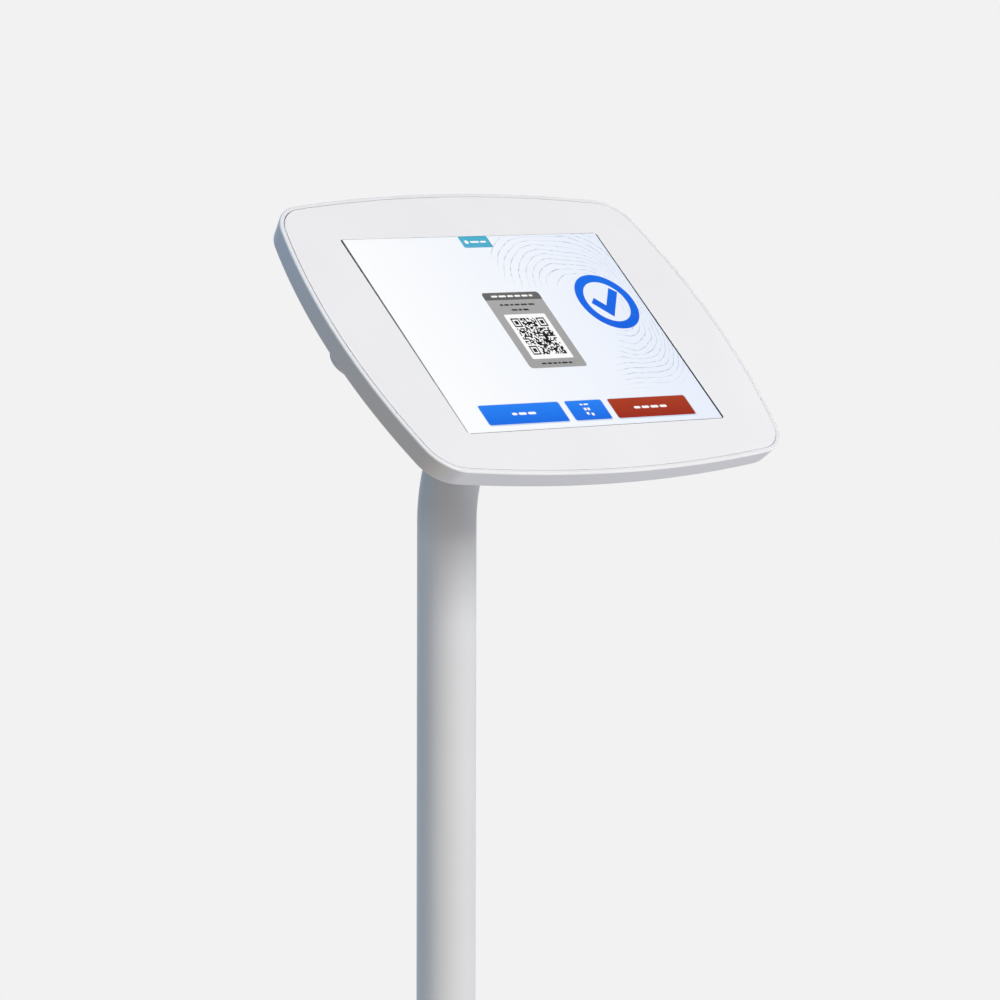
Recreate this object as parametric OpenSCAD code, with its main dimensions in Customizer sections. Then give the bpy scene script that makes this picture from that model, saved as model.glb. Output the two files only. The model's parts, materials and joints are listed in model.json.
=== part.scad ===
// Floor-standing tablet stand: a weighted base plate, a bent round post and a slim
// tablet case with a flush front plate, closed by a cam lock at the back.
// X is to the right of a person facing the screen, Y away from that person, Z up.
// The origin is on the floor, at the centre of the base plate.

/* [Stand] */
// Height of the screen's centre above the floor
screen_h = 1050; // [900:10:1200]
// Slope of the screen, from level
head_tilt = 44; // [35:1:55]
// Outer diameter of the post
post_d = 36; // [32:1:42]
// Wall of the post
post_wall = 2; // [1.5:0.1:3]
// Radius of the post's bend, to its centre line
bend_r = 100; // [70:5:110]
// From the middle of the front plate to the post's upright axis, square to the plate
neck_len = 110.3; // [105:0.1:140]
// From the base plate's centre back to the post
post_back = 60; // [20:5:100]

/* [Base] */
// Width of the base plate
base_w = 400; // [340:10:460]
// Depth of the base plate
base_d = 400; // [340:10:460]
// Thickness of the base plate
base_t = 8; // [6:1:12]
// Bow radius of the base plate's sides
base_bow_r = 1500; // [900:50:2500]
// Corner radius of the base plate
base_corner_r = 70; // [50:5:90]
// Bevel along the base plate's upper edge
base_bevel = 1.2; // [0.5:0.1:2]
// Diameter of a rubber foot pad
pad_d = 40; // [30:1:50]
// Thickness of a rubber foot pad
pad_t = 4; // [3:0.5:6]
// Depth that a foot pad is let into the plate
pad_sink = 1.5; // [1:0.1:2.5]
// From the plate's edges in to a foot pad's centre
pad_in = 50; // [45:1:60]
// Diameter of the holes for floor bolts
floor_hole_d = 9; // [7:0.5:12]
// From the left and right edges in to a floor bolt
floor_in_x = 40; // [30:1:60]
// From the front and back edges in to a floor bolt
floor_in_y = 100; // [90:1:120]
// Diameter of the disc at the foot of the post
flange_d = 110; // [100:5:130]
// Thickness of the disc at the foot of the post
flange_t = 10; // [10:1:14]
// Leg of the weld around the post
weld_leg = 4; // [3:0.5:5]
// Circle of the four bolts under the disc
flange_pcd = 76; // [70:2:84]
// Thread diameter of those bolts
flange_bolt_d = 8; // [6:1:8]
// Grip of those bolts in the disc
flange_grip = 7.8; // [6:0.2:8]

/* [Power inlet] */
// Height of the inlet's centre above the floor
inlet_h = 75; // [60:5:200]
// Diameter of the inlet's body
inlet_d = 12; // [11:0.5:14]
// Diameter of the inlet's outer rim
inlet_rim_d = 16; // [15:0.5:18]
// How far the rim stands out from the post
inlet_proud = 2; // [1:0.5:3]
// Width of the inlet's mouth
inlet_mouth_w = 9; // [8.5:0.1:9.5]
// Height of the inlet's mouth
inlet_mouth_h = 3.2; // [3:0.1:3.5]
// Diameter of the lead in the post
lead_d = 4; // [3:0.5:4]

/* [Case] */
// Width of the case, at mid height
case_w = 307; // [300:1:320]
// Height of the case, at mid width
case_h = 227; // [222:1:240]
// Bow radius of the left and right sides
side_r = 360; // [340:10:500]
// Bow radius of the top and bottom
top_r = 940; // [800:20:1400]
// Corner radius of the case
case_corner_r = 26; // [22:1:32]
// Depth of the case, from its front to its flat back
back_depth = 16.8; // [16.4:0.1:20]
// Height of the sloped border around the flat back
slope_t = 3; // [2:0.1:3.2]
// Width of the sloped border around the flat back
slope_w = 5; // [4:0.1:6]
// How far the side wall leans in from the front to the sloped border
side_lean = 3; // [2:0.1:4]
// Wall of the case
case_wall = 2.6; // [2.2:0.1:3]
// Width of the rim around the front plate
rim_w = 2.65; // [2.2:0.05:3.5]
// Bevel on the rim's outer edge
rim_bevel = 1; // [0.6:0.1:1.4]
// Width of the ledge that the front plate rests on
ledge_w = 2.2; // [1.5:0.1:3]
// Side of the square pad raised on the back
hump_w = 112; // [108:1:120]
// Height of the square pad raised on the back
hump_t = 4; // [3.6:0.2:6]

/* [Front plate] */
// Thickness of the front plate
plate_t = 2.5; // [2.2:0.1:3]
// Thickness of the lip around the window
lip_t = 1; // [0.8:0.1:1.2]
// From the tablet's left and right sides in to the window
window_in_x = 21.6; // [20.8:0.1:24]
// From the tablet's top and bottom in to the window
window_in_y = 9.3; // [8.5:0.1:12]
// Corner radius of the window
window_r = 2; // [1:0.5:3]
// Gap between the front plate and the rim
seam_gap = 0.3; // [0.2:0.05:0.4]
// Width of the hook tab along the plate's right edge
hook_w = 39.4; // [30:0.2:50]
// How far the hook reaches into the side wall
hook_reach = 1.1; // [0.9:0.1:1.2]

/* [Tablet] */
// From the case's left and right sides in to the tablet
tablet_in_x = 28.2; // [27.6:0.1:30]
// From the case's top and bottom in to the tablet
tablet_in_y = 26.45; // [26:0.05:28]
// Thickness of the tablet
tablet_t = 7.5; // [7:0.1:7.6]
// Corner radius of the tablet
tablet_r = 8; // [6:0.5:10]
// Thickness of the tablet's glass
glass_t = 0.8; // [0.6:0.1:1]
// Wall of the tablet's tray
tray_wall = 1.2; // [1:0.1:1.4]
// How far the display panel reaches past the window's left and right edges
panel_lap_x = 2.3; // [1:0.1:2.4]
// How far the display panel reaches past the window's top and bottom edges
panel_lap_y = 2.25; // [1:0.05:3]
// Diameter of the home button
home_d = 14.5; // [12:0.5:14.5]
// Travel of the tablet's buttons
button_travel = 0.4; // [0.3:0.1:0.5]
// Length of the power button
power_len = 10; // [8:1:12]
// Length of a volume button
volume_len = 9; // [8:0.5:12]

/* [Lock] */
// From the case's left side in to the lock's axis
lock_in = 16.5; // [16:0.1:17.4]
// Diameter of the lock's barrel
barrel_d = 12; // [11:0.2:12]
// Diameter of the lock's head
lock_head_d = 17; // [16:0.5:17]
// Height of the lock's head
lock_head_t = 2.5; // [2:0.1:3]
// Diameter of the part that turns
core_d = 9; // [8:0.2:9]
// Length of the cam, from its axis to its tip
cam_len = 9.5; // [9:0.1:9.8]
// Thickness of the cam
cam_t = 1.5; // [1.2:0.1:1.8]
// Thickness of the catch that the cam holds
catch_t = 1.4; // [1.2:0.1:1.6]

/* [Mounting plate] */
// Side of the steel plate behind the case
mount_w = 100; // [92:1:106]
// Thickness of the steel plate
mount_t = 4; // [3:0.5:5]
// Distance between its screws, both ways
mount_span = 75; // [70:1:78]
// Thread diameter of its screws
mount_screw_d = 5; // [4:0.5:5]

/* [Hidden] */

$fn = 64;
// Sides of the long shallow arcs
bow_fn = 720;
// Overlap of a cutting shape past the face that it cuts
cut = 1;
// Clearance of a part that only has to pass or drop in
ease = 0.1;
// Clearance of a pressed or screwed fit
snug = 0.02;
// Clearance of a part that turns in its bore
turn = 0.03;
// Clearance of a flat rest between parts that come apart
rest = 0.1;

// Heights of the base, from the floor up
plate_z = pad_t - pad_sink;
base_top = plate_z + base_t;
flange_top = base_top + flange_t;
pad_x = base_w / 2 - pad_in;
pad_y = base_d / 2 - pad_in;
floor_sink_d = 2 * floor_hole_d;
bolt_head_r = flange_bolt_d;
bolt_head_h = flange_bolt_d / 2;
bolt_hole_r = flange_bolt_d / 2 + 0.3;
bolt_sink_h = cut + bolt_head_r + ease - bolt_hole_r;

// Post: the upright axis, and the head's axis that leans forward from the bend
post_r = post_d / 2;
bore_r = post_r - post_wall;
bend_leg = bend_r * tan(head_tilt / 2);
cross_z = screen_h - neck_len * cos(head_tilt);
bend_z = cross_z - bend_leg;

// Depths in the head, from the front plate's face backwards
glass_z = -lip_t - 0.2;
panel_z = glass_z - glass_t;
tablet_back = glass_z - tablet_t;
tray_floor = tablet_back + 1;
ledge_z = -plate_t - rest;
rim_bevel_t = 1.2 * rim_bevel;
side_depth = back_depth - slope_t;
case_floor = -back_depth + case_wall;
hump_back = -back_depth - hump_t;
hump_floor = hump_back + 3;
mount_back = hump_back - mount_t;
neck_start = neck_len - bend_leg;

// Tablet, window and display, from the case inwards
tablet_w = case_w - 2 * tablet_in_x;
tablet_h = case_h - 2 * tablet_in_y;
window_w = tablet_w - 2 * window_in_x;
window_h = tablet_h - 2 * window_in_y;
panel_w = window_w + 2 * panel_lap_x;
panel_h = window_h + 2 * panel_lap_y;

// Outlines with bowed sides: half width, half height, side bow, top bow, corner
case_shape = [case_w / 2, case_h / 2, side_r, top_r, case_corner_r];
base_shape = [base_w / 2, base_d / 2, base_bow_r, base_bow_r, base_corner_r];
plate_in = rim_w + seam_gap;
cavity_in = rim_w + ledge_w;
cavity_lean = 1;
plate_edge = case_w / 2 - plate_in;

// Tablet corner bumpers and the foam behind the tablet
bumper_x = case_w / 2 - 22;
bumper_y = case_h / 2 - 21.05;
bumper_in = 15;
bumper_top = -plate_t - 0.7;
bumper_r = 6;
back_pad_w = 36;
back_pad_h = 30;
back_pad_in_x = 22.3;
back_pad_in_y = 37.05;
back_pad_x = tablet_w / 2 - back_pad_in_x - back_pad_w / 2;
back_pad_y = tablet_h / 2 - back_pad_in_y - back_pad_h / 2;

// Charging lead: its plug and its route behind the tablet
plug_w = 13;
plug_d = 13;
plug_top = -plate_t - 0.5;
plug_x = tablet_w / 2 + 0.1;
lead_r = lead_d / 2;
lead_z = case_floor + lead_r + 1;
lead_x = plug_x + plug_w / 2 + 1;
lead_turn = 15;
lead_gap = 8.05;
lead_y = -(tablet_h / 2 - bumper_in - lead_gap - lead_r);
dive_r = 10;
inlet_turn = 8;
relief_len = 8;
relief_r = lead_r + 0.8;
clip_in = 72.9;
clip_x = lead_x - clip_in;
clip_foot = 6;

// Lock and catch
lock_x = case_w / 2 - lock_in;
lock_back = -back_depth - lock_head_t;
core_rim_r = core_d / 2 + 1.2;
core_rim_t = 1;
barrel_top = ledge_z - 4;
cam_z = barrel_top + 0.05;
cam_w = 6;
cam_eye_r = 5.5;
cam_square = 5;
catch_x0 = -case_w / 2 + cavity_in + 1.45;
catch_x1 = -lock_x - barrel_d / 2 - 0.6;
catch_gap = 0.8;
catch_bar_z = cam_z - catch_gap - catch_t;
catch_leg_y = cam_len + 0.5;
catch_foot = 8;
catch_foot_x1 = -lock_x - 1.5;
catch_screw_y = catch_leg_y + catch_t + catch_foot / 2;
catch_screw_x = -lock_x - 4.7;

// Hook tab at the right edge of the front plate, and the pocket that it enters
wall_in_x = case_w / 2 - cavity_in - cavity_lean / 3;
hook_x0 = wall_in_x - 5.7;
hook_x1 = wall_in_x - 1.4;
hook_tip = wall_in_x + hook_reach;
hook_low = -plate_t - 4.4;
hook_t = 1.7;
hook_rise = 0.7;

// Home button and side buttons
home_x = (window_w + tablet_w) / 4;
home_sink = 0.2;
side_button_t = 2.4;
side_button_out = button_travel + 0.2;
button_flange = 1;
// From the tablet's corner to the middle of the nearest button on each side
button_in = 27.05;
volume_in = 27.3;
volume_step = volume_len + 2 * button_flange + 1;
power_y = tablet_h / 2 - button_in;
volume_x = [volume_in - tablet_w / 2, volume_in - tablet_w / 2 + volume_step];
edge_button_z = (panel_z + tray_floor) / 2;
port_z = tablet_back + 3.6;

// Battery cells and circuit board, from the tray's walls inwards
cell_in_x = 37.1;
cell_in_y = 25.85;
cell_gap = 6;
cell_t = 3;
cell_w = tablet_w / 2 - tray_wall - cell_in_x - cell_gap / 2;
cell_h = tablet_h - 2 * tray_wall - 2 * cell_in_y;
board_in_x = 7.1;
board_in_y = 20.85;
board_w = 24;
board_t = 1;
board_h = tablet_h - 2 * tray_wall - 2 * board_in_y;
board_x = board_in_x + tray_wall + board_w / 2 - tablet_w / 2;
chip_in = 3;
chip_t = 1.4;

// Sizes of screws and nuts
wire_hole_r = 10;
mount_head_r = 4.6;
mount_head_h = 3.2;
washer_r = 5.5;
washer_t = 1;

// Turns a shape drawn in X and Y into the upright plane of Y and Z
module in_side_plane() {
  rotate([90, 0, 90]) children();
}

// Moves to the centre of the post's bend, in the plane of Y and Z
module at_bend() {
  translate([0, post_back - bend_r, bend_z]) in_side_plane() children();
}

// Moves into the head's own axes, by way of the bend: X right, Y up along the screen,
// Z out of its face
module in_head() {
  at_bend() rotate([0, 0, head_tilt]) translate([bend_r, neck_start, 0])
    in_side_plane() in_side_plane() children();
}

// Centre of the round corner that touches both bows, for an outline in the first quadrant
function bow_corner(s) =
  let (
    side_c = [s[0] - s[2], 0],
    top_c = [0, s[1] - s[3]],
    side_d = s[2] - s[4],
    top_d = s[3] - s[4],
    gap = norm(top_c - side_c),
    along = (top_c - side_c) / gap,
    across = [-along[1], along[0]],
    foot = (side_d * side_d - top_d * top_d + gap * gap) / (2 * gap)
  )
  side_c + along * foot + across * sqrt(side_d * side_d - foot * foot);

// Distance from a corner's centre to the end of the rays that part bows and corners
ray_len = 80;

// Outline of the field that the bows bound, notched at each corner's centre
function bow_field(s) =
  let (
    c = bow_corner(s),
    to_side = c - [s[0] - s[2], 0],
    to_top = c - [0, s[1] - s[3]],
    p = c + to_side / norm(to_side) * ray_len,
    q = c + to_top / norm(to_top) * ray_len
  )
  [
    p, c, q,
    [-q[0], q[1]], [-c[0], c[1]], [-p[0], p[1]],
    [-p[0], -p[1]], [-c[0], -c[1]], [-q[0], -q[1]],
    [q[0], -q[1]], [c[0], -c[1]], [p[0], -p[1]]
  ];

// What a round corner stands proud of the bows by, so that it crosses them cleanly
corner_lap = 0.01;

// Layer of a bowed outline, inset by in0 at height z0 and by in1 at height z1
module bow_layer(s, z0, in0, z1, in1) {
  h = z1 - z0;
  c = bow_corner(s);
  corner_r = s[4] + corner_lap;
  translate([0, 0, z0]) {
    intersection() {
      translate([s[0] - s[2], 0, 0])
        cylinder(h = h, r1 = s[2] - in0, r2 = s[2] - in1, $fn = bow_fn);
      translate([s[2] - s[0], 0, 0])
        cylinder(h = h, r1 = s[2] - in0, r2 = s[2] - in1, $fn = bow_fn);
      translate([0, s[1] - s[3], 0])
        cylinder(h = h, r1 = s[3] - in0, r2 = s[3] - in1, $fn = bow_fn);
      translate([0, s[3] - s[1], 0])
        cylinder(h = h, r1 = s[3] - in0, r2 = s[3] - in1, $fn = bow_fn);
      linear_extrude(h) polygon(bow_field(s));
    }
    for (x = [-1, 1], y = [-1, 1])
      translate([x * c[0], y * c[1], 0])
        cylinder(h = h, r1 = corner_r - in0, r2 = corner_r - in1);
  }
}

// Upright block with round corners, centred on its own axis
module round_block(w, d, r, z0, z1) {
  translate([-w / 2 + r, -d / 2, z0]) cube([w - 2 * r, d, z1 - z0]);
  translate([-w / 2, -d / 2 + r, z0]) cube([w, d - 2 * r, z1 - z0]);
  for (x = [-1, 1], y = [-1, 1])
    translate([x * (w / 2 - r), y * (d / 2 - r), z0]) cylinder(h = z1 - z0, r = r);
}

// Box between two heights, centred on its own axis
module slab(w, d, z0, z1) {
  translate([-w / 2, -d / 2, z0]) cube([w, d, z1 - z0]);
}

// Copies a shape to the four corners of a rectangle
module at_corners(dx, dy) {
  for (x = [-1, 1], y = [-1, 1]) translate([x * dx, y * dy, 0]) children();
}

// Sign of a numbered corner: 1 is back right or upper right, then anticlockwise
function corner_x(i) = i == 1 || i == 4 ? 1 : -1;
function corner_y(i) = i < 3 ? 1 : -1;

// Round bar that follows the post: down the neck, round the bend and down to height low.
// The neck is a hair thinner and the bend's end tapers to it, so that the two join cleanly.
module post_run(r, top_depth, low) {
  hair = 0.05;
  at_bend() {
    difference() {
      rotate_extrude(angle = head_tilt, $fn = 180) translate([bend_r, 0]) circle(r);
      rotate([0, 0, head_tilt]) translate([bend_r, 0, 0]) rotate([-90, 0, 0]) difference() {
        translate([0, 0, -1]) cylinder(h = 1.5, r = r + 1);
        translate([0, 0, -1.2]) cylinder(h = 1.8, r1 = r + 0.14, r2 = r - 0.22);
      }
    }
    rotate([0, 0, head_tilt]) translate([bend_r, -0.6, 0]) rotate([-90, 0, 0])
      cylinder(h = 0.6 + neck_start - top_depth, r = r - hair);
    translate([bend_r, 0, 0]) rotate([90, 0, 0]) cylinder(h = bend_z - low, r = r);
  }
}

// Base

module base_plate() {
  color([0.86, 0.87, 0.89]) difference() {
    union() {
      bow_layer(base_shape, plate_z, 0, base_top - base_bevel, 0);
      bow_layer(base_shape, base_top - base_bevel, 0, base_top, base_bevel);
    }
    at_corners(pad_x, pad_y)
      translate([0, 0, plate_z - cut]) cylinder(h = pad_sink + cut, r = pad_d / 2 + 0.3);
    at_corners(base_w / 2 - floor_in_x, base_d / 2 - floor_in_y) {
      translate([0, 0, plate_z - cut]) cylinder(h = base_t + 2 * cut, r = floor_hole_d / 2);
      translate([0, 0, base_top - floor_hole_d / 2])
        cylinder(h = floor_hole_d / 2, r1 = floor_hole_d / 2, r2 = floor_sink_d / 2);
    }
    translate([0, post_back, 0]) flange_bolt_places() {
      translate([0, 0, plate_z - cut]) cylinder(h = base_t + 2 * cut, r = bolt_hole_r);
      translate([0, 0, plate_z - cut])
        cylinder(h = bolt_sink_h, r1 = bolt_hole_r + bolt_sink_h, r2 = bolt_hole_r);
    }
  }
}

module foot_pad(i) {
  color([0.13, 0.13, 0.14])
    translate([corner_x(i) * pad_x, corner_y(i) * pad_y, 0]) {
      cylinder(h = 0.6, r1 = pad_d / 2 - 0.6, r2 = pad_d / 2);
      translate([0, 0, 0.6]) cylinder(h = pad_t - 0.6, r = pad_d / 2);
    }
}

module flange_bolt_places() {
  for (a = [45:90:315]) rotate([0, 0, a]) translate([flange_pcd / 2, 0, 0]) children();
}

module foot_flange() {
  color([0.84, 0.85, 0.88]) translate([0, post_back, 0]) difference() {
    union() {
      translate([0, 0, base_top]) cylinder(h = flange_t - base_bevel, r = flange_d / 2);
      translate([0, 0, flange_top - base_bevel])
        cylinder(h = base_bevel, r1 = flange_d / 2, r2 = flange_d / 2 - base_bevel);
      translate([0, 0, flange_top])
        cylinder(h = weld_leg, r1 = post_r + weld_leg, r2 = post_r + 0.4);
    }
    translate([0, 0, base_top - cut])
      cylinder(h = flange_t + weld_leg + 2 * cut, r = post_r + snug);
    flange_bolt_places() translate([0, 0, base_top - cut])
      cylinder(h = flange_grip + 0.3 + cut, r = flange_bolt_d / 2 + snug);
  }
}

module flange_bolts() {
  socket_r = flange_bolt_d * 0.36;
  color([0.55, 0.56, 0.58]) translate([0, post_back, 0]) flange_bolt_places() difference() {
    union() {
      translate([0, 0, plate_z])
        cylinder(h = bolt_head_h, r1 = bolt_head_r, r2 = flange_bolt_d / 2);
      translate([0, 0, plate_z + bolt_head_h])
        cylinder(h = base_t - bolt_head_h + flange_grip, r = flange_bolt_d / 2);
    }
    translate([0, 0, plate_z - cut]) cylinder(h = cut + bolt_head_h, r = socket_r, $fn = 6);
  }
}

// Post

module post_tube() {
  color([0.84, 0.85, 0.88]) difference() {
    post_run(post_r, -mount_back, base_top);
    post_run(bore_r, -mount_back - cut, base_top - cut);
    translate([0, post_back, inlet_h]) rotate([-90, 0, 0])
      cylinder(h = post_r + cut, r = inlet_d / 2 + ease);
  }
}

// Power inlet in the back of the post, near the floor
module inlet_socket() {
  color([0.10, 0.10, 0.11]) translate([0, post_back, inlet_h]) difference() {
    union() {
      rotate([-90, 0, 0]) translate([0, 0, inlet_turn])
        cylinder(h = post_r + inlet_proud - inlet_turn, r = inlet_d / 2);
      difference() {
        rotate([-90, 0, 0]) translate([0, 0, bore_r])
          cylinder(h = post_wall + inlet_proud, r = inlet_rim_d / 2);
        translate([0, 0, -inlet_rim_d]) cylinder(h = 2 * inlet_rim_d, r = post_r + snug);
      }
    }
    translate([-inlet_mouth_w / 2, post_r + inlet_proud - 6, -inlet_mouth_h / 2])
      cube([inlet_mouth_w, 6 + cut, inlet_mouth_h]);
  }
}

// Ring nut that clamps the inlet from inside, rounded to the post's bore
module inlet_nut() {
  color([0.62, 0.63, 0.65]) translate([0, post_back, inlet_h]) difference() {
    intersection() {
      rotate([-90, 0, 0]) translate([0, 0, inlet_turn + 1.5])
        cylinder(h = bore_r, r = inlet_rim_d / 2);
      translate([0, 0, -inlet_rim_d]) cylinder(h = 2 * inlet_rim_d, r = bore_r - snug);
    }
    rotate([-90, 0, 0]) cylinder(h = post_r, r = inlet_d / 2 + snug);
  }
}

// Quarter turn of the lead, in the X and Y plane, from the angle start anticlockwise
module lead_quarter(r, start) {
  rotate([0, 0, start]) rotate_extrude(angle = 90, $fn = 96) translate([r, 0]) circle(lead_r);
}

module charge_lead() {
  color([0.16, 0.16, 0.17]) {
    in_head() {
      run_y0 = -plug_d / 2 - relief_len;
      translate([lead_x, run_y0, lead_z]) rotate([90, 0, 0])
        cylinder(h = run_y0 - lead_y - lead_turn, r = lead_r);
      translate([lead_x - lead_turn, lead_y + lead_turn, lead_z]) lead_quarter(lead_turn, -90);
      translate([lead_turn, lead_y, lead_z]) rotate([0, 90, 0])
        cylinder(h = lead_x - 2 * lead_turn, r = lead_r);
      translate([lead_turn, lead_y + lead_turn, lead_z]) lead_quarter(lead_turn, 180);
      translate([0, -dive_r, lead_z]) rotate([90, 0, 0])
        cylinder(h = -dive_r - lead_y - lead_turn, r = lead_r);
      translate([0, -dive_r, lead_z - dive_r]) in_side_plane() lead_quarter(dive_r, 0);
    }
    post_run(lead_r, -lead_z + dive_r, inlet_h + inlet_turn);
    translate([0, post_back + inlet_turn, inlet_h + inlet_turn]) in_side_plane()
      lead_quarter(inlet_turn, 180);
  }
}

// Plate that the head is screwed to, with the weld that joins it to the post
module mount_plate() {
  color([0.80, 0.81, 0.84]) in_head() difference() {
    union() {
      round_block(mount_w, mount_w, 6, mount_back, hump_back);
      translate([0, 0, mount_back - weld_leg])
        cylinder(h = weld_leg, r1 = post_r + 0.4, r2 = post_r + weld_leg);
    }
    translate([0, 0, mount_back - weld_leg - cut])
      cylinder(h = weld_leg + cut, r = post_r + snug);
    translate([0, 0, mount_back - cut]) cylinder(h = mount_t + 2 * cut, r = wire_hole_r);
    at_corners(mount_span / 2, mount_span / 2) translate([0, 0, mount_back - cut])
      cylinder(h = mount_t + 2 * cut, r = mount_screw_d / 2 + snug);
  }
}

// Grommet with a wide mouth, because the lead is still bending there
module plate_grommet() {
  rim_t = 1.2;
  mouth_h = hump_floor + rim_t - lead_z + dive_r;
  color([0.12, 0.12, 0.13]) in_head() difference() {
    union() {
      translate([0, 0, mount_back]) cylinder(h = hump_floor - mount_back, r = wire_hole_r - snug);
      translate([0, 0, hump_floor]) cylinder(h = rim_t, r = wire_hole_r + 3.5);
    }
    translate([0, 0, mount_back - cut])
      cylinder(h = hump_floor + 3 - mount_back, r = lead_r + 0.2);
    translate([0, 0, lead_z - dive_r])
      cylinder(h = mouth_h + 0.01, r1 = lead_r + 0.2, r2 = lead_r + 0.2 + 0.4 * mouth_h);
  }
}

// Case

module rear_shell() {
  color([0.93, 0.94, 0.96]) in_head() difference() {
    union() {
      bow_layer(case_shape, -rim_bevel_t, 0, 0, rim_bevel);
      bow_layer(case_shape, -side_depth, side_lean, -rim_bevel_t, 0);
      bow_layer(case_shape, -back_depth, side_lean + slope_w, -side_depth, side_lean);
      round_block(hump_w, hump_w, 10, hump_back, -back_depth + 0.5);
    }
    bow_layer(case_shape, ledge_z, rim_w, cut, rim_w);
    bow_layer(case_shape, case_floor, cavity_in + cavity_lean, ledge_z, cavity_in);
    round_block(hump_w - 14, hump_w - 14, 6, hump_floor, case_floor + cut);
    translate([0, 0, hump_back - cut]) cylinder(h = 5, r = wire_hole_r + ease);
    at_corners(mount_span / 2, mount_span / 2) translate([0, 0, hump_back - cut])
      cylinder(h = 5, r = mount_screw_d / 2 + 0.25);
    translate([-lock_x, 0, -back_depth - cut])
      cylinder(h = case_wall + 2 * cut, r = barrel_d / 2 + 0.05);
    translate([hook_x1, -hook_w / 2 - hook_rise, hook_low - 0.3])
      cube([hook_tip + 0.6 - hook_x1, hook_w + 2 * hook_rise, hook_t + 0.3 + hook_rise]);
    translate([clip_x, lead_y - clip_foot, case_floor - 1.8])
      cylinder(h = 1.8 + cut, r = 1 + snug);
  }
}

module mount_screws() {
  color([0.55, 0.56, 0.58]) in_head() at_corners(mount_span / 2, mount_span / 2) {
    head_z = hump_floor + washer_t;
    difference() {
      union() {
        translate([0, 0, head_z]) cylinder(h = mount_head_h, r = mount_head_r);
        translate([0, 0, mount_back + 0.4])
          cylinder(h = head_z - mount_back - 0.4, r = mount_screw_d / 2);
      }
      translate([0, 0, head_z + 1]) cylinder(h = mount_head_h, r = 1.7, $fn = 6);
    }
  }
}

module mount_washers() {
  color([0.70, 0.71, 0.73]) in_head() at_corners(mount_span / 2, mount_span / 2)
    translate([0, 0, hump_floor]) difference() {
      cylinder(h = washer_t, r = washer_r);
      translate([0, 0, -cut]) cylinder(h = washer_t + 2 * cut, r = mount_screw_d / 2 + 0.2);
    }
}

// Rubber corner that the tablet stands in
module corner_bumper(i) {
  out_x = bumper_x;
  out_y = bumper_y;
  in_x = tablet_w / 2 - bumper_in;
  in_y = tablet_h / 2 - bumper_in;
  color([0.18, 0.18, 0.19]) in_head()
    mirror([corner_x(i) < 0 ? 1 : 0, 0, 0]) mirror([0, corner_y(i) < 0 ? 1 : 0, 0])
      difference() {
        union() {
          translate([in_x, in_y, case_floor])
            cube([out_x - bumper_r - in_x, out_y - in_y, bumper_top - case_floor]);
          translate([in_x, in_y, case_floor])
            cube([out_x - in_x, out_y - bumper_r - in_y, bumper_top - case_floor]);
          translate([out_x - bumper_r, out_y - bumper_r, case_floor])
            cylinder(h = bumper_top - case_floor, r = bumper_r);
        }
        round_block(tablet_w, tablet_h, tablet_r, tablet_back, bumper_top + cut);
      }
}

module back_pad(i) {
  color([0.20, 0.20, 0.21]) in_head()
    translate([corner_x(i) * back_pad_x, corner_y(i) * back_pad_y, 0])
      slab(back_pad_w, back_pad_h, case_floor, tablet_back);
}

// Snap clip that holds the lead down, with the lead pressed in from above
module lead_clip() {
  color([0.20, 0.20, 0.22]) in_head() translate([clip_x, lead_y, 0]) difference() {
    union() {
      slab(8, 7, case_floor, lead_z + 1.2);
      translate([0, -clip_foot, case_floor]) slab(8, 6, 0, 1.2);
    }
    translate([-4 - cut, 0, lead_z]) rotate([0, 90, 0])
      cylinder(h = 8 + 2 * cut, r = lead_r + snug);
    translate([0, -clip_foot, case_floor - cut]) cylinder(h = 1.2 + 2 * cut, r = 1 + snug);
  }
}

module clip_screw() {
  color([0.60, 0.61, 0.63]) in_head() translate([clip_x, lead_y - clip_foot, case_floor]) {
    translate([0, 0, -1.6]) cylinder(h = 1.6 + 1.2, r = 1);
    translate([0, 0, 1.2]) cylinder(h = 1.2, r = 2);
  }
}

// Lock

module lock_housing() {
  color([0.75, 0.76, 0.78]) in_head() translate([-lock_x, 0, 0]) difference() {
    union() {
      translate([0, 0, lock_back]) cylinder(h = 0.6, r1 = lock_head_d / 2 - 0.6,
        r2 = lock_head_d / 2);
      translate([0, 0, lock_back + 0.6]) cylinder(h = lock_head_t - 0.6, r = lock_head_d / 2);
      translate([0, 0, -back_depth]) cylinder(h = back_depth + barrel_top, r = barrel_d / 2);
    }
    translate([0, 0, lock_back - cut])
      cylinder(h = cut + core_rim_t + turn, r = core_rim_r + turn);
    translate([0, 0, lock_back]) cylinder(h = 30, r = core_d / 2 + turn);
  }
}

module lock_nut() {
  color([0.66, 0.67, 0.69]) in_head() translate([-lock_x, 0, case_floor]) difference() {
    cylinder(h = 3, r = 8.3, $fn = 6);
    translate([0, 0, -cut]) cylinder(h = 3 + 2 * cut, r = barrel_d / 2 + snug);
  }
}

module lock_core() {
  color([0.82, 0.83, 0.85]) in_head() translate([-lock_x, 0, 0]) difference() {
    union() {
      translate([0, 0, lock_back]) cylinder(h = core_rim_t, r = core_rim_r);
      translate([0, 0, lock_back]) cylinder(h = barrel_top - lock_back, r = core_d / 2);
      slab(cam_square, cam_square, barrel_top - cut, cam_z + cam_t);
    }
    slab(6.4, 1.4, lock_back - cut, lock_back + 7);
    translate([0, 0, barrel_top - 5]) cylinder(h = 10, r = 1.5 + snug);
  }
}

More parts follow.
